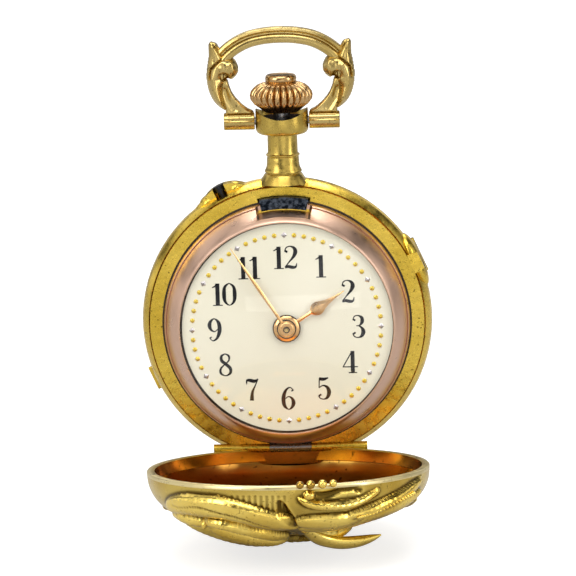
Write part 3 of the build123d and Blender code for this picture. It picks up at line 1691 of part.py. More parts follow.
minute_turn = mesh_turn(motion_direction, cannon_leaves, 0, minute_teeth)
with BuildPart() as minute_wheel:
    extrude(
        gear(facing(*minute_place, minute_wheel_height), cannon_module, minute_teeth, minute_turn),
        amount=wheel_thickness,
    )
    extrude(
        gear(facing(*minute_place, minute_wheel_height), hour_module, minute_leaves, minute_turn),
        amount=hour_wheel_height + wheel_thickness + small_gap - minute_wheel_height,
    )
    extrude(
        pin(minute_place, minute_wheel_height - overrun, arbor_radius + running_fit),
        amount=3 * overrun,
        mode=Mode.SUBTRACT,
    )
save(minute_wheel, "minute_wheel")

with BuildPart() as hour_wheel:
    extrude(
        gear(
            facing(*centre, hour_wheel_height),
            hour_module,
            hour_teeth,
            mesh_turn(motion_direction + 180, minute_leaves, minute_turn, hour_teeth),
        ),
        amount=wheel_thickness,
    )
    extrude(
        rod(centre, hour_wheel_height, hour_pipe_radius),
        amount=hour_hand_height + hour_hand_thickness - hour_wheel_height,
    )
    extrude(
        rod(centre, hour_wheel_height - overrun, cannon_radius + 2 * running_fit),
        amount=hour_hand_height + overrun,
        mode=Mode.SUBTRACT,
    )
save(hour_wheel, "hour_wheel")
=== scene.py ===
import bmesh
import bpy
import numpy
from math import atan2, cos, hypot, pi, radians, sin, sqrt
from mathutils import Matrix, Vector


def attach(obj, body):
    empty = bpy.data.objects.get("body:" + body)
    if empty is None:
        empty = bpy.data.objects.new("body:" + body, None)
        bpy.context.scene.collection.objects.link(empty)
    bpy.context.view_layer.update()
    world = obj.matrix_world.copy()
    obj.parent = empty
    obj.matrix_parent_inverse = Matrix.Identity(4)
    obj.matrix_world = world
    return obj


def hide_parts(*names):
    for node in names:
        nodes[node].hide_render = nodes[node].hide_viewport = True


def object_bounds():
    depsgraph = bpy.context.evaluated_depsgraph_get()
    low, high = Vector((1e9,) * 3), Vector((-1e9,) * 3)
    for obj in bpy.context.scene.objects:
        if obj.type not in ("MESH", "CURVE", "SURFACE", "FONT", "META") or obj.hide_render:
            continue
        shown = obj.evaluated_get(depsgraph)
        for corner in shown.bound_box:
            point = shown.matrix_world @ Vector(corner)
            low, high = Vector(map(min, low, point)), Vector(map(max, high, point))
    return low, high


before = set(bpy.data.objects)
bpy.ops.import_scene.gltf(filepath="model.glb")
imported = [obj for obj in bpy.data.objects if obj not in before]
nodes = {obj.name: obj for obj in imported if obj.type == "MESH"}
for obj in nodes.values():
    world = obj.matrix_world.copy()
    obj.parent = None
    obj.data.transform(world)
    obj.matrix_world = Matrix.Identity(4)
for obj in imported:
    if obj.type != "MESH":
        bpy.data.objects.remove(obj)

# A pendant watch with its front cover open. Its flat back is at y = 0, the dial looks along -y and the bow
# stands on +z. Lengths are in metres, so mm turns a size in millimetres into one. A height h counts from the
# back towards the dial, at y = -h.
mm = 0.001
size_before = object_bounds()

# ---- Stage ----

# A pale floor under the open cover, clear of the chased work that stands proud of it. The camera sees it as
# white, but for the watch's soft shadow.
floor_gap = 1.6
floor_mesh = bmesh.new()
bmesh.ops.create_grid(floor_mesh, x_segments=1, y_segments=1, size=0.6)
bmesh.ops.translate(floor_mesh, vec=(0, 0, size_before[0].z - floor_gap * mm), verts=floor_mesh.verts)
floor_data = bpy.data.meshes.new("floor")
floor_mesh.to_mesh(floor_data)
floor_mesh.free()
studio_floor = bpy.data.objects.new("floor", floor_data)
bpy.context.scene.collection.objects.link(studio_floor)
floor_paper = bpy.data.materials.new("floor paper")
floor_paper.use_nodes = True
paper = floor_paper.node_tree
paper.nodes.clear()
paper_out = paper.nodes.new("ShaderNodeOutputMaterial")
paper_diffuse = paper.nodes.new("ShaderNodeBsdfDiffuse")
paper_diffuse.inputs["Color"].default_value = (0.5, 0.5, 0.5, 1)
paper_glow = paper.nodes.new("ShaderNodeEmission")
paper_path = paper.nodes.new("ShaderNodeLightPath")
paper_seen = paper.nodes.new("ShaderNodeMath")
paper_seen.operation = "MULTIPLY"
paper_seen.inputs[1].default_value = 0.7
paper.links.new(paper_path.outputs["Is Camera Ray"], paper_seen.inputs[0])
paper.links.new(paper_seen.outputs[0], paper_glow.inputs["Strength"])
paper_sum = paper.nodes.new("ShaderNodeAddShader")
paper.links.new(paper_diffuse.outputs[0], paper_sum.inputs[0])
paper.links.new(paper_glow.outputs[0], paper_sum.inputs[1])
paper.links.new(paper_sum.outputs[0], paper_out.inputs["Surface"])
floor_data.materials.append(floor_paper)

# The room: white to the camera and through the glass. In reflections it is bright above and at the sides and
# dark in front and low down, which gives the gold its dark streaks.


def cloud(tree, place, scale, detail):
    """A soft noise on some coordinates, from 0 to 1."""
    made = tree.nodes.new("ShaderNodeTexNoise")
    made.inputs["Scale"].default_value = scale
    made.inputs["Detail"].default_value = detail
    tree.links.new(place, made.inputs["Vector"])
    return made.outputs["Fac"]


def stretch(tree, value, low, high, to_low=0.0, to_high=1.0):
    """A value whose range from low to high is stretched to another."""
    made = tree.nodes.new("ShaderNodeMapRange")
    for socket, number in (("From Min", low), ("From Max", high), ("To Min", to_low), ("To Max", to_high)):
        made.inputs[socket].default_value = number
    tree.links.new(value, made.inputs["Value"])
    return made.outputs[0]


room = bpy.data.worlds.new("room")
bpy.context.scene.world = room
room.use_nodes = True
walls = room.node_tree
walls.nodes.clear()
room_out = walls.nodes.new("ShaderNodeOutputWorld")
room_light = walls.nodes.new("ShaderNodeBackground")
room_light.inputs["Color"].default_value = (1, 1, 1, 1)
room_place = walls.nodes.new("ShaderNodeTexCoord")
room_patches = stretch(walls, cloud(walls, room_place.outputs["Generated"], 2.2, 1), 0.42, 0.6, 0.06, 1.15)
room_path = walls.nodes.new("ShaderNodeLightPath")
room_seen = walls.nodes.new("ShaderNodeMath")
room_seen.operation = "MAXIMUM"
walls.links.new(room_path.outputs["Is Camera Ray"], room_seen.inputs[0])
walls.links.new(room_path.outputs["Is Transmission Ray"], room_seen.inputs[1])
room_strength = walls.nodes.new("ShaderNodeMath")
room_strength.operation = "MAXIMUM"
walls.links.new(room_patches, room_strength.inputs[0])
walls.links.new(room_seen.outputs[0], room_strength.inputs[1])
walls.links.new(room_strength.outputs[0], room_light.inputs["Strength"])
walls.links.new(room_light.outputs[0], room_out.inputs["Surface"])

# Soft boxes: a large one up to the left, a narrow one to the right, one overhead, a low one in front and one
# behind, which lights the upper slope of the bezel.
for lamp_name, lamp_place, lamp_width, lamp_height, lamp_power in (
    ("left box", (-0.34, -0.30, 0.24), 0.22, 0.40, 1.0),
    ("right box", (0.36, -0.20, 0.12), 0.10, 0.40, 0.52),
    ("top box", (0.02, -0.20, 0.42), 0.34, 0.16, 0.76),
    ("low box", (0.03, -0.34, 0.0), 0.26, 0.034, 0.045),
    ("back box", (0.0, 0.20, 0.40), 0.30, 0.14, 0.9),
):
    lamp = bpy.data.lights.new(lamp_name, "AREA")
    lamp.shape = "RECTANGLE"
    lamp.size = lamp_width
    lamp.size_y = lamp_height
    lamp.energy = lamp_power
    lamp_object = bpy.data.objects.new(lamp_name, lamp)
    lamp_object.location = lamp_place
    lamp_object.rotation_mode = "QUATERNION"
    lamp_object.rotation_quaternion = (-Vector(lamp_place)).to_track_quat("-Z", "Y")
    bpy.context.scene.collection.objects.link(lamp_object)

# The camera: a long lens a little above the dial's normal, rolled as the photograph is.
camera_data = bpy.data.cameras.new("camera")
camera_data.sensor_width = 36
camera_data.lens = 281.8
camera_data.clip_start = 0.01
camera_data.clip_end = 10
camera = bpy.data.objects.new("camera", camera_data)
camera_rise = radians(10.55)
camera_turn = radians(1.3)
camera_roll = radians(-1.6)
camera_distance = 400 * mm
camera_aim = Vector((0.22 * mm, -8.0 * mm, 3.62 * mm))
camera_back = Vector(
    (sin(camera_turn) * cos(camera_rise), -cos(camera_turn) * cos(camera_rise), sin(camera_rise))
)
camera.location = camera_aim + camera_distance * camera_back
camera.rotation_mode = "QUATERNION"
camera_level = (-camera_back).to_track_quat("-Z", "Y")
camera.rotation_quaternion = camera_level @ Matrix.Rotation(camera_roll, 3, "Z").to_quaternion()
bpy.context.scene.collection.objects.link(camera)
bpy.context.scene.camera = camera
bpy.context.scene.view_settings.view_transform = "Standard"

# ---- Case band and its small parts ----

# The turned band of yellow gold with its joints, the setting pin's guard and the pin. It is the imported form,
# with its facets smoothed, in gold worn to a fine grain.


def colour_mix(tree, share, low, high):
    """Goes from one colour to another with a share of 0 to 1. Each colour is given, or is a socket."""
    made = tree.nodes.new("ShaderNodeMix")
    made.data_type = "RGBA"
    tree.links.new(share, made.inputs["Factor"])
    for socket, colour in (("A", low), ("B", high)):
        if isinstance(colour, tuple):
            made.inputs[socket].default_value = (*colour, 1)
        else:
            tree.links.new(colour, made.inputs[socket])
    return made.outputs["Result"]


def metal(name, colour, low, high, grain, bump, wear=None):
    """A metal with fine wear: its roughness, from low to high, and its surface vary with a noise of one grain.
    Where it has a colour of wear, that lies in larger patches, with small pits that have filled with dirt."""
    made = bpy.data.materials.new(name)
    made.use_nodes = True
    tree = made.node_tree
    shader = tree.nodes["Principled BSDF"]
    shader.inputs["Metallic"].default_value = 1.0
    shader.inputs["Base Color"].default_value = (*colour, 1)
    place = tree.nodes.new("ShaderNodeTexCoord").outputs["Object"]
    grains = cloud(tree, place, grain, 5)
    tree.links.new(stretch(tree, grains, 0.3, 0.7, low, high), shader.inputs["Roughness"])
    if bump > 0:
        dents = tree.nodes.new("ShaderNodeBump")
        dents.inputs["Strength"].default_value = bump
        dents.inputs["Distance"].default_value = 0.05 * mm
        tree.links.new(grains, dents.inputs["Height"])
        tree.links.new(dents.outputs[0], shader.inputs["Normal"])
    if wear:
        patches = stretch(tree, cloud(tree, place, grain / 7, 4), 0.36, 0.58)
        pits = stretch(tree, cloud(tree, place, grain * 3, 2), 0.66, 0.71, 0.0, 0.75)
        dirt = tuple(0.12 * part for part in wear)
        worn = colour_mix(tree, patches, wear, colour)
        tree.links.new(colour_mix(tree, pits, worn, dirt), shader.inputs["Base Color"])
    return made


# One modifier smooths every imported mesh: it welds the corners and keeps only the sharp edges sharp.
sharp_angle = radians(33)
smoothing = bpy.data.node_groups.new("smooth facets", "GeometryNodeTree")
smoothing.interface.new_socket("Geometry", in_out="INPUT", socket_type="NodeSocketGeometry")
smoothing.interface.new_socket("Geometry", in_out="OUTPUT", socket_type="NodeSocketGeometry")
smooth_in = smoothing.nodes.new("NodeGroupInput")
smooth_out = smoothing.nodes.new("NodeGroupOutput")
weld = smoothing.nodes.new("GeometryNodeMergeByDistance")
weld.inputs["Distance"].default_value = 0.0005 * mm
drop_normals = smoothing.nodes.new("GeometryNodeRemoveAttribute")
drop_normals.inputs["Name"].default_value = "custom_normal"
face_smooth = smoothing.nodes.new("GeometryNodeSetShadeSmooth")
face_smooth.domain = "FACE"
edge_angle = smoothing.nodes.new("GeometryNodeInputMeshEdgeAngle")
is_sharp = smoothing.nodes.new("FunctionNodeCompare")
is_sharp.data_type = "FLOAT"
is_sharp.operation = "GREATER_THAN"
is_sharp.inputs["B"].default_value = sharp_angle
edge_sharp = smoothing.nodes.new("GeometryNodeSetShadeSmooth")
edge_sharp.domain = "EDGE"
edge_sharp.inputs["Shade Smooth"].default_value = False
smoothing.links.new(smooth_in.outputs[0], drop_normals.inputs["Geometry"])
smoothing.links.new(drop_normals.outputs[0], weld.inputs["Geometry"])
smoothing.links.new(weld.outputs[0], face_smooth.inputs["Geometry"])
smoothing.links.new(face_smooth.outputs[0], edge_sharp.inputs["Geometry"])
smoothing.links.new(edge_angle.outputs["Unsigned Angle"], is_sharp.inputs["A"])
smoothing.links.new(is_sharp.outputs[0], edge_sharp.inputs["Selection"])
smoothing.links.new(edge_sharp.outputs[0], smooth_out.inputs[0])


def dress(material, *names):
    """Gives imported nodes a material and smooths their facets."""
    for name in names:
        nodes[name].data.materials.clear()
        nodes[name].data.materials.append(material)
        nodes[name].modifiers.new("smooth facets", "NODES").node_group = smoothing


yellow_gold = metal("yellow gold", (0.78, 0.545, 0.085), 0.16, 0.38, 1500, 0.55, (0.64, 0.43, 0.05))
dress(yellow_gold, "case_middle")
dark_steel = metal("dark steel", (0.03, 0.03, 0.035), 0.3, 0.5, 2600, 0.4)
dress(dark_steel, "set_pin")
blued_steel = metal("blued steel", (0.005, 0.008, 0.013), 0.25, 0.5, 24000, 0.9, (0.08, 0.10, 0.13))
dress(blued_steel, "lock_spring", "fly_spring")
steel = metal("steel", (0.30, 0.30, 0.31), 0.18, 0.4, 2000, 0.3)
dress(steel, "front_hinge_pin", "front_cover_knuckle", "back_hinge_pin", "bow_pins")

# ---- Swellings of the band ----

# The soft swelling in which the back's joint is sunk, and the two lips that guard the setting pin. They are of
# the band's gold, soldered on and filed smooth.


def place_piece(name, made, material, body, sharp=35, replaced=()):
    """Makes an object of a mesh, smooth but for its sharp edges, and hangs it on its CAD body."""
    bmesh.ops.recalc_face_normals(made, faces=made.faces)
    data = bpy.data.meshes.new(name)
    made.to_mesh(data)
    made.free()
    data.shade_smooth()
    data.set_sharp_from_angle(angle=radians(sharp))
    data.materials.append(material)
    piece = bpy.data.objects.new(name, data)
    bpy.context.scene.collection.objects.link(piece)
    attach(piece, body)
    if replaced:
        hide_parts(*replaced)
    return piece


swelling_mesh = bmesh.new()
# each: angle from 3 o'clock, distance from the middle, height, half length, half width, half depth, lean
for angle, out, height, along, across, deep, lean in (
    (24.3, 12.64, 3.75, 2.6, 0.72, 1.55, 0),
    (122.5, 12.75, 3.6, 0.86, 0.62, 1.0, 10),
    (125.5, 12.6, 3.6, 1.1, 0.5, 0.9, 10),
    (109.9, 12.78, 3.6, 0.68, 0.66, 1.0, -10),
    (105.8, 12.45, 3.6, 1.6, 0.5, 0.95, -6),
):
    place = Vector((out * cos(radians(angle)), -height, out * sin(radians(angle)))) * mm
    bmesh.ops.create_uvsphere(
        swelling_mesh, u_segments=32, v_segments=20, radius=mm,
        matrix=Matrix.Translation(place)
        @ Matrix.Rotation(radians(90 - angle - lean), 4, "Y")
        @ Matrix.Diagonal((along, deep, across, 1)),
    )
swelling_piece = place_piece("band_swellings", swelling_mesh, yellow_gold, "case", 60)

# ---- Pendant ----

# The neck and collar of yellow gold, turned in one piece and soldered to the band, a little smoother than it.
# The collar is hollowed out into a cup, in which the crown sits.


def skin(made, rings, closed=False):
    """Joins rings of points with faces. A closed one joins the last with the first, and others shut both."""
    loops = [[made.verts.new(point) for point in ring] for ring in rings]
    for first, second in list(zip(loops, loops[1:])) + ([(loops[-1], loops[0])] if closed else []):
        for index in range(len(first)):
            after = (index + 1) % len(first)
            made.faces.new((first[index], first[after], second[after], second[index]))
    if not closed:
        made.faces.new(loops[0][::-1])
        made.faces.new(loops[-1])


# the outside of the neck and collar from the foot up: radius and height on the pendant's axis
pendant_outline = [
    (0.8, 11.4), (1.0, 11.4), (1.0, 12.3), (2.2, 12.35), (2.1, 12.6), (1.93, 12.9), (1.78, 13.12),
    (1.68, 13.28), (1.56, 13.36), (1.56, 13.42), (1.66, 13.48), (1.66, 13.58), (1.58, 13.72), (1.49, 13.95),
    (1.44, 14.35), (1.43, 14.75), (1.4, 14.84), (1.42, 14.9), (1.5, 14.95), (1.5, 15.05), (1.38, 15.12),
    (1.34, 15.3), (1.33, 16.88), (1.75, 16.88), (2.02, 16.93), (2.22, 17.05), (2.33, 17.25), (2.36, 17.5),
    (2.36, 17.9),
]
cup_outline = [(2.12, 18.3), (1.7, 17.6), (0.8, 17.55)]
pendant_height = 3.9
scoop_radius, scoop_low = 3.9, 18.36
foot_front, foot_low = -1.5, 12.44
pendant_steps = 96
pendant_rings = []
for step in range(pendant_steps):
    angle = 2 * pi * step / pendant_steps
    section = [(r * cos(angle), r * sin(angle), z) for r, z in pendant_outline]
    # the collar's rim is scooped out from side to side under the crown
    for r in (2.34, 2.2):
        scoop = scoop_low + scoop_radius - sqrt(scoop_radius**2 - (r * cos(angle)) ** 2)
        section.append((r * cos(angle), r * sin(angle), scoop))
    section += [(r * cos(angle), r * sin(angle), z) for r, z in cup_outline]
    # in front, the foot stands clear of the closed cover's rim
    pendant_rings.append(
        [Vector((x, y - pendant_height, max(z, foot_low) if y < foot_front else z)) * mm for x, y, z in section]
    )
pendant_mesh = bmesh.new()
skin(pendant_mesh, pendant_rings, closed=True)
pendant_gold = metal("pendant gold", (0.55, 0.39, 0.09), 0.22, 0.36, 1500, 0.2, (0.46, 0.31, 0.06))
pendant_piece = place_piece("pendant_visual", pendant_mesh, pendant_gold, "case", 40, ("pendant",))

# ---- Bow ----

# The bow of gold, cast and chased: a grooved arch that ends in a pair of leaves, each with a curl, and two
# grooved tubes that turn on their pins.


def curve_through(points, steps):
    """A smooth run through points of any number of values, with steps between each two."""
    padded = [points[0], *points, points[-1]]
    run = []
    for index in range(len(points) - 1):
        a, b, c, d = padded[index : index + 4]
        for step in range(steps):
            t = step / steps
            spot = []
            for p, q, r, s in zip(a, b, c, d):
                bend, twist = 2 * p - 5 * q + 4 * r - s, 3 * q - p - 3 * r + s
                spot.append(0.5 * (2 * q + (r - p) * t + bend * t**2 + twist * t**3))
            run.append(tuple(spot))
    return run + [tuple(points[-1])]


def way_at(run, index):
    """The direction of a flat run at one of its points."""
    before, after = run[max(index - 1, 0)], run[min(index + 1, len(run) - 1)]
    return Vector((after[0] - before[0], after[1] - before[1])).normalized()


# two ridges with a groove between them, front and back: the outer one is the wider
grooved_outline = [
    (1, 0), (0.98, 0.45), (0.85, 0.85), (0.5, 1.0), (0.1, 0.95), (-0.1, 0.72), (-0.2, 0.4),
    (-0.32, 0.4), (-0.42, 0.72), (-0.6, 0.84), (-0.85, 0.7), (-0.98, 0.35), (-1, 0),
    (-0.98, -0.35), (-0.85, -0.7), (-0.6, -0.84), (-0.42, -0.72), (-0.32, -0.4),
    (-0.2, -0.4), (-0.1, -0.72), (0.1, -0.95), (0.5, -1.0), (0.85, -0.85), (0.98, -0.45),
]


def far(grid_x, grid_z, line):
    """The distance of every grid point from a run of straight pieces."""
    best = numpy.full(grid_x.shape, 1e9)
    for (ax, az), (bx, bz) in zip(line, line[1:]):
        long = max((bx - ax) ** 2 + (bz - az) ** 2, 1e-12)
        t = numpy.clip(((grid_x - ax) * (bx - ax) + (grid_z - az) * (bz - az)) / long, 0, 1)
        best = numpy.minimum(best, numpy.hypot(grid_x - ax - t * (bx - ax), grid_z - az - t * (bz - az)))
    return best


def carved(made, outline, side, middle, deep, round_width, cuts, cell=0.055):
    """A carved leaf in the bow's plane: full in the middle and round at its outline. Each of its cuts is a line,
    a width and an amount, which is cut into it or raised on it."""
    edge = curve_through([*outline, outline[0]], 5)
    xs = numpy.arange(min(p[0] for p in edge) - cell, max(p[0] for p in edge) + 2 * cell, cell)
    zs = numpy.arange(min(p[1] for p in edge) - cell, max(p[1] for p in edge) + 2 * cell, cell)
    gx, gz = numpy.meshgrid(xs, zs, indexing="ij")
    inside = numpy.zeros(gx.shape, dtype=bool)
    for (ax, az), (bx, bz) in zip(edge, edge[1:]):
        crosses = (az > gz) != (bz > gz)
        inside ^= crosses & (gx < (bx - ax) * (gz - az) / ((bz - az) or 1e-9) + ax)
    apart = far(gx, gz, edge)
    share = numpy.clip(apart / round_width, 0, 1)
    high = deep * numpy.sqrt(1 - (1 - share) ** 2) * inside
    for line, width, amount in cuts:
        high = high + amount * numpy.exp(-((far(gx, gz, line) / width) ** 2)) * numpy.clip(share * 1.6, 0, 1)
    front, back = {}, {}
    for i in range(len(xs)):
        for j in range(len(zs)):
            if inside[i, j]:
                up = max(float(high[i, j]), 0.02)
                front[i, j] = made.verts.new(Vector((side * gx[i, j], -(middle + up), gz[i, j])) * mm)
                back[i, j] = made.verts.new(Vector((side * gx[i, j], -(middle - 0.8 * up), gz[i, j])) * mm)
    walls = {}
    for i, j in front:
        ring = ((i, j), (i + 1, j), (i + 1, j + 1), (i, j + 1))
        if all(key in front for key in ring):
            made.faces.new([front[key] for key in ring])
            made.faces.new([back[key] for key in ring][::-1])
            for a, b in zip(ring, ring[1:] + ring[:1]):
                walls[a, b] = True
    for a, b in walls:
        if (b, a) not in walls:
            made.faces.new((front[a], back[a], back[b], front[b]))
    loose = [v for v in made.verts if not v.link_faces]
    bmesh.ops.delete(made, geom=loose, context="VERTS")


bow_mesh = bmesh.new()
half_arch = [(5.75, 22.0), (5.6, 23.0), (5.05, 23.95), (4.1, 24.75), (2.9, 25.35), (1.5, 25.66)]
arch = curve_through([(-x, z) for x, z in half_arch] + [(0, 25.75)] + half_arch[::-1], 4)
wide, deep = 0.74, 0.66
arch_rings = []
for index, (x, z) in enumerate(arch):
    way = way_at(arch, index)
    arch_rings.append(
        [
            Vector((x + way.y * wide * a, -(pendant_height + deep * b), z - way.x * wide * a)) * mm
            for a, b in grooved_outline
        ]
    )
skin(bow_mesh, arch_rings)
for side in (-1, 1):
    foot = [
        (5.3, 21.8), (4.75, 21.9), (4.5, 21.1), (4.15, 20.4), (3.6, 19.75), (3.0, 19.25), (2.5, 18.98),
        (2.46, 18.5), (2.5, 18.1), (3.8, 18.0), (5.0, 18.1), (5.06, 18.5), (5.0, 19.0), (5.1, 19.4),
        (5.5, 20.2), (5.7, 21.2),
    ]
    foot_folds = [
        ([(4.62, 21.4), (4.3, 20.6), (3.75, 19.95), (3.1, 19.4), (2.6, 19.15)], 0.16, 0.14),
        ([(5.0, 20.9), (4.75, 20.0), (4.2, 19.2)], 0.3, -0.2),
        ([(2.5, 18.75), (5.0, 18.75)], 0.07, -0.3),
    ]
    carved(bow_mesh, foot, side, pendant_height, 0.62, 0.3, foot_folds)
    leaf = [
        (6.13, 25.3), (6.36, 25.0), (6.36, 24.1), (6.56, 22.9), (6.62, 22.0), (6.44, 20.85), (6.0, 19.9),
        (5.4, 19.3), (4.95, 19.1), (4.8, 19.5), (5.05, 20.5), (5.05, 21.2), (4.85, 21.65), (4.7, 21.95),
        (4.35, 21.85), (3.85, 22.3), (3.7, 22.85), (4.0, 23.6), (4.5, 23.85), (5.0, 23.85), (5.25, 24.45),
        (5.6, 25.1),
    ]
    leaf_folds = [
        ([(5.94, 25.2), (5.45, 24.4), (5.04, 23.8)], 0.07, -0.35),
        ([(5.04, 23.8), (5.6, 23.45), (6.18, 22.9), (6.3, 22.0)], 0.08, -0.4),
        ([(5.0, 22.15), (4.9, 22.0), (4.75, 21.8)], 0.24, -1.3),
        ([(5.6, 23.0), (5.95, 22.0), (5.85, 21.0), (5.45, 20.0)], 0.36, 0.3),
        ([(4.3, 23.4), (4.4, 22.8)], 0.4, 0.2),
    ]
    carved(bow_mesh, leaf, side, pendant_height, 0.95, 0.62, leaf_folds)
    # the tube on its pin, with a turned groove round its middle line
    tube_height, tube_radius, tube_steps, grooves, groove_share = 18.05, 0.77, 36, (1, 2, 20), 0.82
    tube_rings = []
    for x, share in ((2.43, 0.94), (2.47, 1), (5.1, 1), (5.16, 0.93)):
        ring = []
        for step in range(tube_steps):
            angle = 2 * pi * step / tube_steps
            out = tube_radius * share * (groove_share if step in grooves else 1.0)
            y, z = -pendant_height - out * cos(angle), tube_height + out * sin(angle)
            ring.append(Vector((side * x, y, z)) * mm)
        tube_rings.append(ring)
    skin(bow_mesh, tube_rings)
bow_gold = metal("bow gold", (0.58, 0.43, 0.16), 0.16, 0.36, 1300, 0.4, (0.46, 0.32, 0.09))
bow_piece = place_piece("bow_visual", bow_mesh, bow_gold, "bow", 40, ("bow",))

# ---- Crown ----

# The winding crown of rose gold: an onion with rounded flutes and a turned button on top. It is screwed to
# the winding stem, which runs down through the pendant.


def lathe(profile, steps, across_y=True, centre=(0.0, 0.0, 0.0)):
    """A turned piece: a closed outline of (radius, height) points in mm, turned about the case's axis, or about
    the pendant's where it isn't across y."""
    made = bmesh.new()
    corners = []
    for radius, height in profile:
        place = (radius, -height, 0) if across_y else (radius, 0, height)
        corners.append(made.verts.new((place[0] * mm, place[1] * mm, place[2] * mm)))
    edges = [made.edges.new((a, b)) for a, b in zip(corners, corners[1:] + corners[:1])]
    bmesh.ops.spin(
        made,
        geom=corners + edges,
        cent=(0, 0, 0),
        axis=(0, 1, 0) if across_y else (0, 0, 1),
        angle=2 * pi,
        steps=steps,
        use_merge=True,
    )
    bmesh.ops.remove_doubles(made, verts=made.verts, dist=0.0002 * mm)
    bmesh.ops.translate(made, vec=centre, verts=made.verts)
    return made


def add_lathe(made, *turning):
    """Adds a turned piece to a mesh that is being made."""
    turned = lathe(*turning)
    data = bpy.data.meshes.new("turned")
    turned.to_mesh(data)
    turned.free()
    made.from_mesh(data)
    bpy.data.meshes.remove(data)


crown_mesh = bmesh.new()
crown_flutes = 26
crown_steps = crown_flutes * 8
crown_rings = []
for z, radius, depth in (
    (18.85, 1.35, 0.06), (18.87, 1.5, 0.1), (19.0, 1.7, 0.14), (19.25, 1.98, 0.16), (19.6, 2.46, 0.16),
    (20.0, 2.76, 0.16), (20.35, 2.81, 0.16), (20.7, 2.72, 0.17), (21.0, 2.5, 0.18), (21.25, 2.2, 0.2),
    (21.4, 1.85, 0.2), (21.46, 1.4, 0.16),
):
    ring = []
    for step in range(crown_steps):
        angle = 2 * pi * step / crown_steps
        out = radius * (1 - depth + depth * abs(cos(crown_flutes / 2 * angle)) ** 0.6)
        ring.append(Vector((out * cos(angle), -pendant_height + out * sin(angle), z)) * mm)
    crown_rings.append(ring)
skin(crown_mesh, crown_rings)
pendant_axis = (0, -pendant_height * mm, 0)
button_outline = [
    (0, 20.9), (1.3, 20.9), (1.3, 21.5), (1.38, 21.6), (1.4, 21.85), (1.34, 22.08), (1.2, 22.18),
    (1.05, 22.14), (0.8, 22.1), (0, 22.1),
]
add_lathe(crown_mesh, button_outline, 64, False, pendant_axis)
crown_gold = metal("crown gold", (0.70, 0.46, 0.22), 0.14, 0.28, 900, 0.15, (0.5, 0.31, 0.13))
crown_piece = place_piece("crown_visual", crown_mesh, crown_gold, "crown", 50, ("crown",))

# ---- Bezel ----

# The rose gold bezel: a turned ring, polished, that falls in a soft curve from the glass to the band. It snaps
# into the band and holds the glass.
bezel_outline = [
    (10.58, 5.46), (10.96, 5.46), (11.0, 5.52), (11.0, 5.7), (10.97, 6.0), (10.9, 6.25), (10.83, 6.35),
    (10.79, 6.29), (10.74, 6.38), (10.6, 6.75), (10.3, 7.39), (10.0, 7.92), (9.85, 8.14), (9.72, 8.3),
    (9.62, 8.38), (9.54, 8.38), (9.49, 8.3), (9.63, 8.26), (9.63, 8.0), (9.5, 8.0), (9.5, 6.0), (10.58, 6.0),
]
bezel_mesh = lathe(bezel_outline, 320)
# the step in which the lip of the catch lies
step_half_width, step_radius, step_height = 2.34, 10.22, 5.92
for corner in bezel_mesh.verts:
    x, _, z = corner.co
    if z > 0 and abs(x) < step_half_width * mm and hypot(x, z) > step_radius * mm:
        corner.co.y = max(corner.co.y, -step_height * mm)
bezel_gold = metal("bezel gold", (0.68, 0.45, 0.33), 0.26, 0.42, 700, 0.1)
bezel_piece = place_piece("bezel_visual", bezel_mesh, bezel_gold, "case", 24, ("bezel",))

# Painted shade in the gaps: dark rings and sheets round the dial's edge, beside the bezel on the band, and in
# and under the pendant, where shade falls.


def plain_finish(name, colour, roughness):
    """A finish of one colour that isn't metal."""
    made = bpy.data.materials.new(name)
    made.use_nodes = True
    shader = made.node_tree.nodes["Principled BSDF"]
    shader.inputs["Base Color"].default_value = (*colour, 1)
    shader.inputs["Roughness"].default_value = roughness
    return made


def flat_ring(inner, outer, height):
    """The outline of a thin flat ring."""
    low = height - 0.03
    return [(inner, height), (outer, height), (outer, low), (inner, low)]


# painted shade: the near-black finish of these dark rings and sheets
gap_dirt = plain_finish("gap dirt", (0.03, 0.018, 0.01), 0.8)
gap_shade_mesh = bmesh.new()
# painted shade: a dark ring round the dial's edge
add_lathe(gap_shade_mesh, flat_ring(9.37, 9.5, 8.03), 200)
# the dial sits a little to the upper right in the bezel, which widens the gap at its lower left, and the painted
# shade ring with it
for corner in gap_shade_mesh.verts:
    if hypot(corner.co.x, corner.co.z) < 9.45 * mm:
        corner.co += Vector((0.07, 0, 0.035)) * mm
# painted shade: a dark ring on the band, beside the bezel
add_lathe(gap_shade_mesh, flat_ring(10.99, 11.17, 5.41), 200)
# a painted shadow: a dark slit under the front of the pendant's foot
slit_place = Matrix.Translation((0, -5.36 * mm, 12.36 * mm))
bmesh.ops.create_cube(gap_shade_mesh, size=mm, matrix=slit_place @ Matrix.Diagonal((1.7, 0.1, 0.12, 1)))
# painted shade: a dark lining in the pendant's cup
cup_lining = [(0.85, 17.62), (1.72, 17.66), (2.14, 18.34), (2.08, 18.34), (1.66, 17.74), (0.85, 17.7)]
add_lathe(gap_shade_mesh, cup_lining, 64, False, pendant_axis)
gap_shade_piece = place_piece("gap_dirt", gap_shade_mesh, gap_dirt, "case", 30)

# ---- Crystal ----

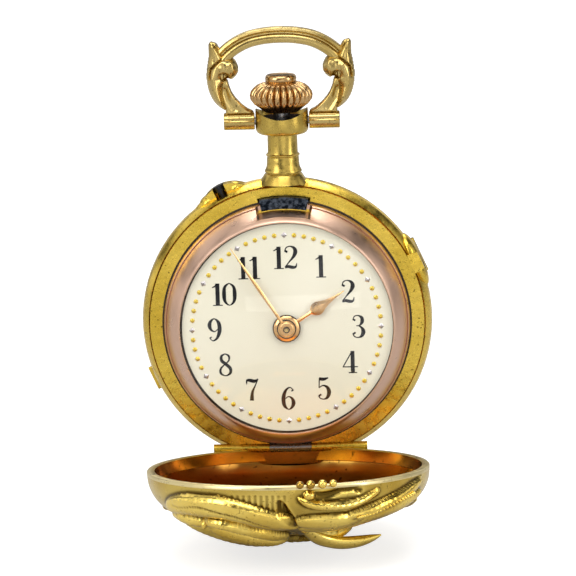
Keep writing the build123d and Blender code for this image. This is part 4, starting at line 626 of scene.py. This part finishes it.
# The domed glass: thin and clear, blown and ground, and snapped into the bezel. It reflects very little, as it
# does in soft light.
clear_glass = bpy.data.materials.new("clear glass")
clear_glass.use_nodes = True
glass = clear_glass.node_tree
glass.nodes.clear()
glass_out = glass.nodes.new("ShaderNodeOutputMaterial")
glass_clear = glass.nodes.new("ShaderNodeBsdfTransparent")
glass_clear.inputs["Color"].default_value = (1, 1, 1, 1)
glass_shine = glass.nodes.new("ShaderNodeBsdfGlossy")
glass_shine.inputs["Roughness"].default_value = 0.02
glass_mix = glass.nodes.new("ShaderNodeMixShader")
glass_mix.inputs["Fac"].default_value = 0.025
glass.links.new(glass_clear.outputs[0], glass_mix.inputs[1])
glass.links.new(glass_shine.outputs[0], glass_mix.inputs[2])
glass.links.new(glass_mix.outputs[0], glass_out.inputs["Surface"])
dress(clear_glass, "crystal")

# ---- Dial ----

# The dial: a copper disc with cream enamel fired on it, which has faint greenish clouds. It stands in the band
# on its three feet.
enamel = plain_finish("cream enamel", (0.90, 0.86, 0.71), 0.22)
enamel_tree = enamel.node_tree
enamel_place = enamel_tree.nodes.new("ShaderNodeTexCoord").outputs["Object"]
enamel_cloud = cloud(enamel_tree, enamel_place, 90, 3)
enamel_clouds = colour_mix(enamel_tree, enamel_cloud, (0.84, 0.81, 0.62), (0.90, 0.86, 0.71))
enamel_tree.links.new(enamel_clouds, enamel_tree.nodes["Principled BSDF"].inputs["Base Color"])
dress(enamel, "dial")

# The hour numerals: printed in black, upright, each from strokes that swell and thin.
numeral_ink = plain_finish("black enamel", (0.012, 0.012, 0.014), 0.35)
numeral_ink.node_tree.nodes["Principled BSDF"].inputs["Specular IOR Level"].default_value = 0.2
# each stroke: points of (x, y, width), in heights of a digit
digit_strokes = {
    "0": [[(0.31, 0.985, 0.04), (0.12, 0.82, 0.12), (0.08, 0.5, 0.17), (0.12, 0.18, 0.12),
          (0.31, 0.015, 0.04), (0.50, 0.18, 0.12), (0.54, 0.5, 0.17), (0.50, 0.82, 0.12), (0.31, 0.985, 0.04)]],
    "1": [[(0.31, 0.03, 0.18), (0.31, 0.5, 0.18), (0.31, 0.98, 0.18)], [(0.1, 0.02, 0.045),
          (0.52, 0.02, 0.045)], [(0.08, 0.80, 0.04), (0.2, 0.86, 0.06), (0.3, 0.96, 0.06)]],
    "2": [[(0.1, 0.72, 0.12), (0.15, 0.8, 0.12)], [(0.06, 0.74, 0.04), (0.12, 0.92, 0.05),
          (0.30, 0.985, 0.05), (0.47, 0.90, 0.13), (0.52, 0.74, 0.18), (0.44, 0.54, 0.13), (0.26, 0.32, 0.06),
          (0.08, 0.1, 0.05)], [(0.06, 0.05, 0.09), (0.2, 0.1, 0.13), (0.38, 0.06, 0.14), (0.52, 0.08, 0.09),
          (0.57, 0.24, 0.03)]],
    "3": [[(0.11, 0.76, 0.12), (0.15, 0.83, 0.12)], [(0.07, 0.78, 0.04), (0.14, 0.94, 0.05),
          (0.30, 0.985, 0.05), (0.46, 0.88, 0.14), (0.47, 0.70, 0.15), (0.36, 0.55, 0.06),
          (0.22, 0.53, 0.04)], [(0.3, 0.53, 0.04), (0.43, 0.46, 0.09), (0.52, 0.28, 0.18), (0.45, 0.09, 0.13),
          (0.30, 0.015, 0.05), (0.13, 0.06, 0.05), (0.06, 0.2, 0.05)], [(0.11, 0.24, 0.12),
          (0.15, 0.17, 0.12)]],
    "4": [[(0.44, 0.03, 0.17), (0.44, 0.5, 0.17), (0.44, 0.98, 0.17)], [(0.42, 0.97, 0.05),
          (0.03, 0.3, 0.05)], [(0.0, 0.28, 0.05), (0.66, 0.28, 0.05)], [(0.26, 0.02, 0.045),
          (0.62, 0.02, 0.045)]],
    "5": [[(0.1, 0.92, 0.13), (0.3, 0.9, 0.14), (0.5, 0.96, 0.05)], [(0.11, 0.95, 0.045),
          (0.09, 0.52, 0.045)], [(0.09, 0.52, 0.045), (0.26, 0.62, 0.06), (0.44, 0.54, 0.13),
          (0.52, 0.33, 0.18), (0.45, 0.1, 0.13), (0.29, 0.015, 0.05), (0.13, 0.06, 0.05), (0.06, 0.18, 0.05)],
          [(0.11, 0.23, 0.12), (0.15, 0.16, 0.12)]],
    "6": [[(0.47, 0.87, 0.11), (0.5, 0.82, 0.11)], [(0.52, 0.87, 0.04), (0.38, 0.985, 0.05),
          (0.2, 0.86, 0.11), (0.09, 0.55, 0.17), (0.12, 0.2, 0.15), (0.30, 0.015, 0.05), (0.46, 0.12, 0.12),
          (0.52, 0.3, 0.17), (0.46, 0.49, 0.11), (0.31, 0.58, 0.05), (0.16, 0.48, 0.04)]],
    "7": [[(0.06, 0.74, 0.03), (0.08, 0.92, 0.09), (0.22, 0.92, 0.15), (0.38, 0.88, 0.15), (0.5, 0.92, 0.1),
          (0.56, 0.985, 0.04)], [(0.56, 0.97, 0.04), (0.42, 0.66, 0.06), (0.3, 0.38, 0.12),
          (0.27, 0.02, 0.18)]],
    "8": [[(0.3, 0.985, 0.05), (0.14, 0.88, 0.11), (0.15, 0.68, 0.14), (0.33, 0.52, 0.14), (0.51, 0.33, 0.14),
          (0.5, 0.12, 0.11), (0.3, 0.015, 0.05), (0.1, 0.12, 0.1), (0.1, 0.33, 0.09), (0.28, 0.52, 0.05),
          (0.45, 0.68, 0.07), (0.46, 0.88, 0.09), (0.3, 0.985, 0.05)]],
    "9": [[(0.13, 0.13, 0.11), (0.1, 0.18, 0.11)], [(0.08, 0.13, 0.04), (0.22, 0.015, 0.05),
          (0.4, 0.14, 0.11), (0.51, 0.45, 0.17), (0.48, 0.8, 0.15), (0.30, 0.985, 0.05), (0.14, 0.88, 0.12),
          (0.08, 0.7, 0.17), (0.14, 0.51, 0.11), (0.29, 0.42, 0.05), (0.44, 0.52, 0.04)]],
}
numeral_mesh = bmesh.new()
numeral_circle, numeral_tall, digit_middle, digit_advance = 6.38, 2.05, 0.31, 1.05
dial_height = 8.0
print_height = dial_height + 0.012
for hour in range(1, 13):
    digits = str(hour)
    middle = (numeral_circle * sin(radians(30 * hour)), numeral_circle * cos(radians(30 * hour)))
    for place, digit in enumerate(digits):
        left = middle[0] - digit_middle * numeral_tall + (place - (len(digits) - 1) / 2) * digit_advance
        low = middle[1] - numeral_tall / 2
        for stroke in digit_strokes[digit]:
            run = curve_through(stroke, 7)
            pairs = []
            for index, (x, y, width) in enumerate(run):
                way = way_at(run, index)
                pair = []
                for turn in (-1, 1):
                    across = left + numeral_tall * (x + turn * way.y * width / 2)
                    up = low + numeral_tall * (y - turn * way.x * width / 2)
                    pair.append(numeral_mesh.verts.new((across * mm, -print_height * mm, up * mm)))
                pairs.append(pair)
            for first, second in zip(pairs, pairs[1:]):
                numeral_mesh.faces.new((*first, *second[::-1]))
numeral_print = place_piece("dial_numerals", numeral_mesh, numeral_ink, "case")

# The minute ring: forty-eight small gold domes, four between each two hours, fired into the enamel.
dot_gold = metal("dot gold", (0.84, 0.62, 0.10), 0.25, 0.4, 2000, 0.0)
dot_mesh = bmesh.new()
minute_circle, dot_radius, dot_rise = 8.4, 0.21, 0.55
for minute in range(60):
    if minute % 5 == 0:
        continue
    angle = radians(6 * minute)
    place = (minute_circle * sin(angle) * mm, -dial_height * mm, minute_circle * cos(angle) * mm)
    bmesh.ops.create_uvsphere(
        dot_mesh, u_segments=12, v_segments=6, radius=dot_radius * mm,
        matrix=Matrix.Translation(place) @ Matrix.Scale(dot_rise, 4, (0, 1, 0)),
    )
dot_ring = place_piece("dial_minute_dots", dot_mesh, dot_gold, "case")

# The hour lozenges: twelve cut silvery diamonds between the dots, point outwards.
lozenge_silver = metal("lozenge silver", (0.46, 0.43, 0.43), 0.25, 0.4, 2000, 0.0)
lozenge_mesh = bmesh.new()
lozenge_place = Matrix.Translation((0, -dial_height * mm, minute_circle * mm))
for hour in range(12):
    turn = Matrix.Rotation(radians(30 * hour), 4, "Y") @ lozenge_place
    bmesh.ops.create_cone(
        lozenge_mesh, cap_ends=True, segments=4, radius1=0.46 * mm, radius2=0.1 * mm, depth=0.2 * mm,
        matrix=turn @ Matrix.Rotation(radians(90), 4, "X"),
    )
lozenge_ring = place_piece("dial_hour_lozenges", lozenge_mesh, lozenge_silver, "case", 10)

# ---- Hands ----

# The hands of rose gold, filed to a ridge: a pear-shaped hour hand and a slender minute hand. Each is pressed
# on its arbor by a domed boss.
hand_gold = metal("hand gold", (0.78, 0.47, 0.20), 0.2, 0.34, 900, 0.1)


def hand(name, angle, base, stations, boss, rise, body, node, collet):
    """A hand along its angle clockwise from 12, from stations of (distance, half width, ridge height) in mm."""
    made = bmesh.new()
    turn = Matrix.Rotation(radians(angle), 4, "Y")
    rings = []
    for along, half, ridge in curve_through(stations, 5):
        right = [(half / 2, ridge * 0.7), (half, 0.03), (half, 0.0)]
        outline = [(-x, y) for x, y in right[::-1]] + [(0, ridge)] + right
        rings.append([turn @ (Vector((x, -(base + y), along)) * mm) for x, y in outline])
    skin(made, rings)
    dome = [(1.0, 0.0), (1.0, 0.3), (0.95, 0.5), (0.8, 0.95), (0.76, 1.0)]
    outline = [(boss * out, base + rise * up) for out, up in dome]
    add_lathe(made, [(collet, base), *outline, (collet, base + rise)], 64)
    piece = place_piece(name, made, hand_gold, body, 25, (node,))


hour_stations = [
    (0.5, 0.22, 0.1), (1.5, 0.15, 0.1), (2.4, 0.14, 0.11), (2.62, 0.2, 0.12), (2.85, 0.44, 0.14),
    (3.1, 0.58, 0.15), (3.4, 0.6, 0.16), (3.75, 0.47, 0.15), (4.15, 0.31, 0.13), (4.6, 0.19, 0.11),
    (5.3, 0.11, 0.09), (6.15, 0.03, 0.05),
]
hand("hour_hand_visual", 57.6, 8.24, hour_stations, 1.15, 0.24, "hour_hand", "hour_hand", 0.3)
minute_stations = [
    (0.4, 0.16, 0.1), (1.5, 0.13, 0.1), (3.2, 0.15, 0.12), (4.6, 0.16, 0.12), (6.4, 0.11, 0.1),
    (8.8, 0.025, 0.05),
]
hand("minute_hand_visual", 327.2, 8.56, minute_stations, 0.76, 0.3, "minute_hand", "minute_hand", 0.2)
dress(steel, "cannon_pinion", "hour_wheel", "minute_wheel", "winding_stem", "press_sleeve")
# painted shade: dark rings in the gaps under the bosses
boss_shade_mesh = bmesh.new()
add_lathe(boss_shade_mesh, flat_ring(1.1, 1.24, 8.25), 64)
add_lathe(boss_shade_mesh, flat_ring(0.76, 0.86, 8.5), 64)
boss_shade_piece = place_piece("hour_boss_gap", boss_shade_mesh, gap_dirt, "hour_hand", 30)
# painted shade: a dark ring round the end of the centre arbor
arbor_gap = place_piece("arbor_gap", lathe(flat_ring(0.215, 0.3, 8.88), 40), gap_dirt, "minute_hand", 30)
# the end of the centre arbor, a polished steel bead in a ring of painted shade
arbor_mesh = lathe([(0, 8.7), (0.17, 8.7), (0.17, 8.9), (0.12, 8.97), (0, 9.0)], 32)
arbor_end = place_piece("centre_arbor_end", arbor_mesh, steel, "centre_wheel", 50)

# ---- Front cover ----

# The front cover of yellow gold: a thin dome, polished inside, with leaf work chased in relief outside. It is
# drawn shut, with its relief raised along the dome's normals, and then swung open about its joint.
cover_gold = metal("chased gold", (0.96, 0.71, 0.17), 0.13, 0.30, 1300, 0.4, (0.74, 0.49, 0.08))
rim_height, shoulder, apex, rim_radius = 5.8, 3.4, 11.35, 12.35
# the dome is part of a ball that runs into the round shoulder, where it leans by ball_turn
shoulder_centre = rim_radius - shoulder
ball = (shoulder_centre**2 + (apex - rim_height) ** 2 - shoulder**2) / (2 * (apex - rim_height - shoulder))
ball_turn = atan2(shoulder_centre, ball - (apex - rim_height))
meeting = ball * ball_turn


def dome_point(run, lift):
    """The radius and height of a point of the dome at an arc length from the apex, raised along the normal."""
    if run < meeting:
        lean = run / ball
        return (ball + lift) * sin(lean), apex - ball + (ball + lift) * cos(lean)
    lean = min(ball_turn + (run - meeting) / shoulder, pi / 2)
    drop = max(0.0, run - meeting - shoulder * (pi / 2 - ball_turn))
    return shoulder_centre + (shoulder + lift) * sin(lean), rim_height + (shoulder + lift) * cos(lean) - drop


# fronds of the relief: points on the cover as (x, z), half width and height in mm
fronds = [
    [(-10.2, 5.4, 0.4, 0.3), (-9.7, 6.7, 0.8, 0.55), (-8.7, 8.2, 1.0, 0.7), (-7.3, 9.5, 1.1, 0.75),
     (-5.5, 10.6, 1.1, 0.75), (-3.5, 11.1, 1.1, 0.75), (-1.6, 10.9, 1.15, 0.75), (0.0, 10.4, 0.9, 0.6),
     (0.8, 9.8, 0.4, 0.3)],
    [(-6.8, 8.3, 0.35, 0.6), (-6.2, 9.1, 0.42, 0.9), (-4.9, 9.55, 0.45, 0.95), (-3.6, 9.3, 0.45, 0.95),
     (-2.3, 8.7, 0.45, 0.95), (-1.1, 7.8, 0.4, 0.85), (-0.2, 7.0, 0.3, 0.55)],
    [(-6.6, 7.9, 0.3, 0.6), (-5.8, 7.3, 0.5, 0.95), (-4.4, 6.7, 0.6, 1.05), (-3.0, 6.3, 0.6, 1.1),
     (-1.6, 6.0, 0.55, 1.05), (-0.5, 6.2, 0.4, 0.8), (0.0, 6.8, 0.2, 0.4)],
    [(-9.0, 4.6, 0.4, 0.4), (-7.9, 5.4, 0.8, 0.75), (-6.4, 4.8, 0.9, 0.9), (-4.6, 4.3, 0.95, 1.0),
     (-2.6, 4.2, 0.9, 1.0), (-1.0, 4.6, 0.5, 0.7)],
    [(-9.6, 4.9, 0.4, 0.4), (-8.7, 6.2, 0.7, 0.65), (-7.5, 7.3, 0.6, 0.7), (-6.9, 7.9, 0.3, 0.5)],
    [(1.2, 12.2, 0.2, 0.3), (1.9, 12.0, 0.34, 0.6), (3.6, 11.5, 0.36, 0.7), (5.1, 10.9, 0.34, 0.65),
     (6.8, 10.1, 0.3, 0.4), (7.8, 9.5, 0.26, 0.15)],
    [(0.9, 10.7, 0.5, 0.3), (1.6, 10.6, 0.85, 0.6), (3.0, 10.2, 1.0, 0.75), (4.6, 9.6, 0.95, 0.75),
     (6.0, 9.1, 0.6, 0.5)],
    [(1.4, 9.2, 0.6, 0.4), (3.2, 8.9, 1.0, 0.6), (5.2, 8.5, 1.0, 0.6), (7.0, 8.0, 1.0, 0.5),
     (8.6, 7.1, 0.9, 0.45), (10.0, 5.8, 0.7, 0.4), (11.2, 4.2, 0.4, 0.3)],
    [(5.4, 9.9, 0.3, 0.5), (6.8, 9.3, 0.5, 0.7), (8.2, 8.5, 0.55, 0.68), (9.5, 7.4, 0.55, 0.62),
     (10.6, 6.1, 0.5, 0.5), (11.6, 4.4, 0.3, 0.25)],
    [(1.8, 7.9, 0.4, 0.3), (2.5, 6.8, 0.7, 0.8), (3.4, 5.9, 0.8, 0.9), (4.4, 5.3, 0.6, 0.7),
     (5.2, 5.0, 0.3, 0.3)],
    [(-1.0, -11.2, 0.3, 0.3), (0.8, -9.0, 0.36, 0.5), (1.6, -6.5, 0.38, 0.5), (0.6, -4.0, 0.38, 0.5),
     (-1.2, -2.0, 0.36, 0.5), (-2.2, 0.3, 0.34, 0.45), (-1.4, 2.6, 0.3, 0.4), (0.6, 4.4, 0.3, 0.4)],
    [(11.0, 2.2, 0.2, 0.15), (10.0, -0.6, 0.34, 0.35), (9.9, -3.4, 0.36, 0.4), (8.8, -6.2, 0.34, 0.35),
     (6.4, -8.9, 0.25, 0.25), (3.4, -10.4, 0.22, 0.2), (0.2, -10.6, 0.2, 0.2)],
    [(-10.8, 2.0, 0.2, 0.15), (-10.4, -1.0, 0.34, 0.35), (-9.6, -4.2, 0.36, 0.4), (-7.4, -7.6, 0.34, 0.35),
     (-4.2, -9.9, 0.25, 0.25), (-0.6, -10.9, 0.2, 0.2)],
]
pearls = [
    (2.0, 12.15, 0.5, 0.4), (-6.9, 8.3, 0.36, 1.0), (-8.1, 6.9, 0.3, 0.8), (2.5, -6.1, 0.42, 0.5),
    (3.1, -6.8, 0.36, 0.45), (-0.4, -3.9, 0.4, 0.5), (-3.3, 0.0, 0.4, 0.5), (0.3, 0.3, 0.42, 0.5),
    (1.1, -0.1, 0.34, 0.42), (-1.9, -7.2, 0.42, 0.5), (-2.7, -7.1, 0.34, 0.42), (7.0, -3.0, 0.38, 0.42),
    (-5.9, -3.3, 0.38, 0.42),
]
# hollows sunk beside the raised work
hollows = [
    [(2.8, 12.0, 0.4, 0.16), (4.2, 11.6, 0.5, 0.3), (5.3, 11.2, 0.5, 0.34), (6.3, 10.6, 0.35, 0.15)],
    [(-0.5, 12.1, 0.45, 0.22), (-0.2, 11.7, 0.6, 0.34), (0.25, 11.1, 0.5, 0.34), (0.8, 10.3, 0.3, 0.25)],
    [(-5.5, 8.5, 0.25, 0.4), (-4.3, 8.2, 0.34, 0.65), (-3.1, 7.7, 0.34, 0.65), (-1.9, 7.1, 0.26, 0.5)],
    [(-9.4, 7.5, 0.12, 0.06), (-7.4, 9.55, 0.14, 0.12), (-5.4, 10.6, 0.14, 0.12), (-3.4, 11.1, 0.14, 0.1),
     (-1.4, 10.9, 0.12, 0.06)],
]
# the leaves of the lower spray, each with its vein: they grow from the stem to both sides
for leaf in (
    [(0.9, -8.8), (-1.2, -8.5), (-3.4, -8.9), (-5.3, -8.1), (-6.3, -6.7)],
    [(1.4, -7.7), (3.2, -8.2), (5.2, -7.7), (6.8, -6.2), (7.6, -4.4)],
    [(1.2, -5.3), (-0.8, -5.4), (-3.2, -5.8), (-5.7, -4.9), (-7.6, -2.6)],
    [(1.0, -4.6), (2.8, -4.6), (4.9, -3.9), (6.6, -2.3), (7.8, -0.4)],
    [(-1.1, -2.1), (-2.9, -2.6), (-5.0, -1.9), (-6.4, -0.2), (-6.8, 2.0)],
    [(-1.6, -1.3), (0.4, -1.8), (2.7, -1.4), (4.4, -0.3), (5.2, 1.2)],
    [(-2.2, 0.6), (-3.4, 1.5), (-4.9, 2.2), (-6.0, 3.5)],
    [(-1.7, 2.0), (0.2, 1.7), (2.0, 2.1), (3.3, 3.7)],
):
    widths = (0.3, 0.72, 0.95, 0.66, 0.12) if len(leaf) == 5 else (0.3, 0.7, 0.62, 0.12)
    fronds.append([(x, z, wide, 0.28 + 0.5 * wide) for (x, z), wide in zip(leaf, widths)])
    hollows.append([(x, z, 0.2, 0.2) for x, z in leaf[:-1]])
dome_length = meeting + shoulder * (pi / 2 - ball_turn)
ways, runs, eye = 600, 124, 0.12
angles = numpy.arange(ways) * 2 * pi / ways
# the grid is closer at the front edge, where the finest work is
angles = angles + 0.3 * numpy.cos(angles)
lengths = eye + (dome_length - eye) * numpy.linspace(0, 1, runs) ** 0.8
flat = numpy.zeros((runs, ways, 3))
for row, length in enumerate(lengths):
    radius, height = dome_point(length, 0)
    flat[row, :, 0] = radius * numpy.cos(angles)
    flat[row, :, 1] = radius * numpy.sin(angles)
    flat[row, :, 2] = height


def swelling(x, z, wide):
    """A round swelling on the cover, from 1 at a spot to 0 at its half width, for every point of the grid."""
    radius = hypot(x, z)
    if radius < ball * sin(ball_turn):
        height = apex - ball + sqrt(ball**2 - radius**2)
    else:
        height = rim_height + sqrt(max(0.0, shoulder**2 - (min(radius, rim_radius) - shoulder_centre) ** 2))
    apart = numpy.sqrt((flat[:, :, 0] - x) ** 2 + (flat[:, :, 1] - z) ** 2 + (flat[:, :, 2] - height) ** 2)
    return numpy.clip(1 - (apart / wide) ** 2, 0, 1)


lift, sunk, flutes = (numpy.zeros((runs, ways)) for _ in range(3))
for stations in fronds:
    for count, (x, z, wide, high) in enumerate(curve_through(stations, 22)):
        # the height ripples a little, as a chasing tool leaves it
        ripple = 1 + 0.022 * sin(0.9 * count)
        lift = numpy.maximum(lift, high * ripple * swelling(x, z, wide) ** 0.45)
for x, z, wide, high in pearls:
    lift = numpy.maximum(lift, high * swelling(x, z, wide) ** 0.5)
for stations in hollows:
    for x, z, wide, deep in curve_through(stations, 10):
        sunk = numpy.maximum(sunk, deep * swelling(x, z, wide))
# soft flutes, only in the ground beside the large frond
for flute in range(10):
    x = -4.6 + 0.5 * flute
    stations = [(x, 12.3, 0.2, 0.05), (x, 11.9, 0.24, 0.09), (x, 11.4, 0.2, 0.015)]
    for _, out, wide, deep in curve_through(stations, 6):
        flutes = numpy.maximum(flutes, deep * swelling(x, sqrt(out * out - x * x), wide))
lift = lift - sunk - flutes * numpy.clip(1 - lift / 0.06, 0, 1)
# no hollow goes through the wall, which is thinner over the glass
glass_reach = 10.2
deepest = numpy.where(numpy.hypot(flat[:, :, 0], flat[:, :, 1]) < glass_reach, -0.18, -0.34)
lift = numpy.maximum(lift, deepest)
# the relief ends short of the rim
lift = lift * numpy.clip((dome_length - lengths) / 0.4, 0, 1)[:, None]
# painted shade: what lies lower than its surroundings is darkened, as shade falls there
around = lift.copy()
for _ in range(5):
    around = (around + numpy.roll(around, 1, 1) + numpy.roll(around, -1, 1)) / 3
    around[1:-1] = (around[1:-1] + around[:-2] + around[2:]) / 3
hollow = numpy.clip((around - lift) * 14 + (lift < 0.04) * 0.32 + sunk * 1.6, 0, 0.96)


def round_ring(radius, height):
    """A plain ring of the cover's grid."""
    return [Vector((radius * cos(a), -height, radius * sin(a))) * mm for a in angles]


cover_rings = []
for row, length in enumerate(lengths):
    ring = []
    for column, angle in enumerate(angles):
        radius, height = dome_point(length, float(lift[row, column]))
        ring.append(Vector((radius * cos(angle), -height, radius * sin(angle))) * mm)
    cover_rings.append(ring)
for radius, height in ((12.37, 5.55), (12.28, 5.45), (11.85, 5.45), (11.7, 5.5), (11.68, 6.5), (11.85, 6.6)):
    cover_rings.append(round_ring(radius, height))
# the inside: the wall is 0.26 thick over the glass and 0.4 near the rim
inside_rings = 16
for length in numpy.linspace(dome_length - 0.9, eye, inside_rings):
    wall = 0.26 + 0.14 * min(max((dome_point(length, 0)[0] - 9.8) / 1.2, 0), 1)
    cover_rings.append(round_ring(*dome_point(length, -wall)))
cover_mesh = bmesh.new()
skin(cover_mesh, cover_rings)
# four berries that stand over the edge, for the thumb
for x, size in ((1.25, 0.34), (2.15, 0.38), (3.15, 0.38), (4.05, 0.33)):
    bmesh.ops.create_uvsphere(
        cover_mesh, u_segments=24, v_segments=14, radius=size * mm,
        matrix=Matrix.Translation(Vector((x, -5.35, sqrt(12.68**2 - x**2))) * mm),
    )
# the beads along the crest of the right leaf
bead_reach = shoulder + 0.62
for x, z in curve_through([(5.9, 9.75), (6.8, 9.3), (8.2, 8.5), (9.5, 7.4), (10.4, 6.3)], 5):
    side_out = hypot(x, z) - shoulder_centre
    lean = atan2(side_out, sqrt(max(0.01, shoulder**2 - side_out**2)))
    out = (shoulder_centre + bead_reach * sin(lean)) / hypot(x, z)
    bmesh.ops.create_uvsphere(
        cover_mesh, u_segments=12, v_segments=8, radius=0.19 * mm,
        matrix=Matrix.Translation(Vector((x * out, -rim_height - bead_reach * cos(lean), z * out)) * mm),
    )
# the leaf whose tip stands free of the dome: (x, z, distance from the dome, half width, half thickness)
tip_outline = [
    (1, 0.3), (0.65, 0.75), (0, 1.0), (-0.65, 0.8), (-1, 0.3), (-1, -0.3), (-0.65, -0.7), (0, -0.85),
    (0.65, -0.6), (1, -0.3), (0.62, 0),
]
tip_run = curve_through(
    [
        (1.5, 8.3, 0.0, 0.4, 0.35), (2.2, 7.1, 0.4, 0.65, 0.55), (3.1, 6.2, 0.8, 0.82, 0.62),
        (4.3, 5.6, 1.15, 0.85, 0.62), (5.6, 5.3, 1.35, 0.66, 0.55), (6.7, 5.3, 1.45, 0.4, 0.36),
        (7.5, 5.5, 1.5, 0.06, 0.08),
    ],
    6,
)
ball_centre = Vector((0, ball - apex, 0))
feet = [Vector((x, -(apex - ball + sqrt(ball**2 - x**2 - z**2)), z)) for x, z, *_ in tip_run]
tip_rings = []
for index, (foot, (_, _, out, wide, thick)) in enumerate(zip(feet, tip_run)):
    away = (foot - ball_centre).normalized()
    ahead = (feet[min(index + 1, len(feet) - 1)] - feet[max(index - 1, 0)]).normalized()
    aside = away.cross(ahead).normalized()
    tip_rings.append([(foot + away * (out + thick * b) - aside * wide * a) * mm for a, b in tip_outline])
skin(cover_mesh, tip_rings)
# the flat lip inside the joint
for thick in (0, 0.12):
    corners = [
        cover_mesh.verts.new(Vector((x, -h, z + thick)) * mm)
        for x, h, z in ((-3.75, 5.42, -11.5), (3.75, 5.42, -11.5), (2.75, 6.8, -11.6), (-2.75, 6.8, -11.6))
    ]
    cover_mesh.faces.new(corners)
joint_place = Vector((0, -5.3, -11.45)) * mm
open_angle = radians(85)
swing = Matrix.Translation(joint_place) @ Matrix.Rotation(open_angle, 4, "X") @ Matrix.Translation(-joint_place)
bmesh.ops.transform(cover_mesh, matrix=swing, verts=cover_mesh.verts)
cover_piece = place_piece("front_cover_visual", cover_mesh, cover_gold, "front_cover", 60, ("front_cover",))
# painted highlight: the rim's gold is paler than the cover's, as it catches the light
rim_highlight_gold = metal("rim gold", (0.76, 0.63, 0.32), 0.25, 0.45, 1500, 0.3)
# painted shade and painted reflection: the inside's gold is a deep copper tone, for its dim reflections and the
# shade in the open cover
inside_shade_gold = metal("polished inside", (0.36, 0.12, 0.022), 0.08, 0.2, 500, 0.0, (0.42, 0.25, 0.045))
for extra in (rim_highlight_gold, inside_shade_gold):
    cover_piece.data.materials.append(extra)
# the faces follow the order they were made in: the relief, the rim, the inside and, polished as it is, the
# first of the berries. The last two are the flat lip's.
cover_faces = cover_piece.data.polygons
rim_start, inside_start, inside_end = (runs - 1) * ways, (runs + 3) * ways, (runs + 6 + inside_rings) * ways
for face in cover_faces:
    if inside_start <= face.index < inside_end or face.index >= len(cover_faces) - 2:
        face.material_index = 2
    elif rim_start <= face.index < inside_start:
        face.material_index = 1
# the painted shade of the low areas is kept on the cover's points
shade = cover_piece.data.attributes.new("hollow", "FLOAT", "POINT")
shade_values = numpy.zeros(len(cover_piece.data.vertices))
shade_values[: runs * ways] = hollow.ravel()
shade.data.foreach_set("value", shade_values)
cover_tree = cover_gold.node_tree
cover_colour = cover_tree.nodes["Principled BSDF"].inputs["Base Color"]
# painted shade: the cover's gold darkens to a deep brown where the low areas are
hollow_shade_node = cover_tree.nodes.new("ShaderNodeAttribute")
hollow_shade_node.attribute_name = "hollow"
hollow_shaded_colour = colour_mix(cover_tree, hollow_shade_node.outputs["Fac"], cover_colour.links[0].from_socket, (0.10, 0.055, 0.006))
cover_tree.links.new(hollow_shaded_colour, cover_colour)

# ---- Back cover and cuvette ----

# The back cover and the inner cuvette of yellow gold, turned and polished smoother than the band. Both swing on
# the band's joint.
polished_gold = metal("polished gold", (0.74, 0.52, 0.09), 0.14, 0.26, 900, 0.06, (0.66, 0.45, 0.065))
dress(polished_gold, "back_cover", "cuvette")

# ---- Movement ----

# The plates, bridges and cocks are of gilt brass with a fine frosted grain, and the wheels of brass. The
# winding work and the escapement are of polished steel. The pivots run in rubies, and screws hold the bridges.
gilt_brass = metal("gilt brass", (0.66, 0.46, 0.18), 0.32, 0.5, 3000, 0.4)
dress(gilt_brass, "main_plate", "barrel_bridge", "train_bridge", "balance_cock", "pallet_cock")
wheel_brass = metal("wheel brass", (0.70, 0.50, 0.20), 0.15, 0.3, 1500, 0.15)
dress(wheel_brass, "barrel", "centre_wheel", "third_wheel", "fourth_wheel", "balance_wheel")
polished_steel = metal("polished steel", (0.42, 0.42, 0.43), 0.16, 0.26, 4000, 0.04)
dress(polished_steel, "barrel_arbor", "ratchet_wheel", "crown_wheel", "click", "click_spring", "winding_pinion")
dress(polished_steel, "sliding_pinion", "escape_wheel", "pallet_fork", "regulator")
dress(blued_steel, "hairspring")
ruby = plain_finish("ruby", (0.45, 0.01, 0.04), 0.06)
dress(ruby, "jewels")

# The bridge screws: blued steel heads with a sawn slot, one pair to each bridge and one to the cock.
screw_mesh = bmesh.new()
head_sunk, head_rise, slot_rise, slot_half_angle = 0.05, 0.2, 0.08, 0.14
for x, z, height, size, turn in (
    (6.9, -4.9, 2.6, 0.58, 0.4), (3.15, 8.0, 2.6, 0.55, 1.2), (-7.2, -4.6, 2.6, 0.58, 2.1),
    (-1.15, -8.45, 2.6, 0.58, 0.9), (-2.95, 7.75, 2.25, 0.5, 1.7),
):
    rim = [(size * cos(2 * pi * i / 32), size * sin(2 * pi * i / 32)) for i in range(32)]
    skin(
        screw_mesh,
        [[Vector((x + p, -h, z + q)) * mm for p, q in rim] for h in (height + head_sunk, height - slot_rise)],
    )
    for side in (-1, 1):
        half = []
        for angle in numpy.linspace(slot_half_angle, pi - slot_half_angle, 15):
            p, q = size * cos(angle), side * size * sin(angle)
            half.append((x + p * cos(turn) - q * sin(turn), z + p * sin(turn) + q * cos(turn)))
        skin(screw_mesh, [[Vector((p, -h, q)) * mm for p, q in half] for h in (height, height - head_rise)])
screw_blue = metal("blued screw", (0.03, 0.05, 0.15), 0.14, 0.24, 2500, 0.03)
screw_piece = place_piece("bridge_screws", screw_mesh, screw_blue, "case", 30)
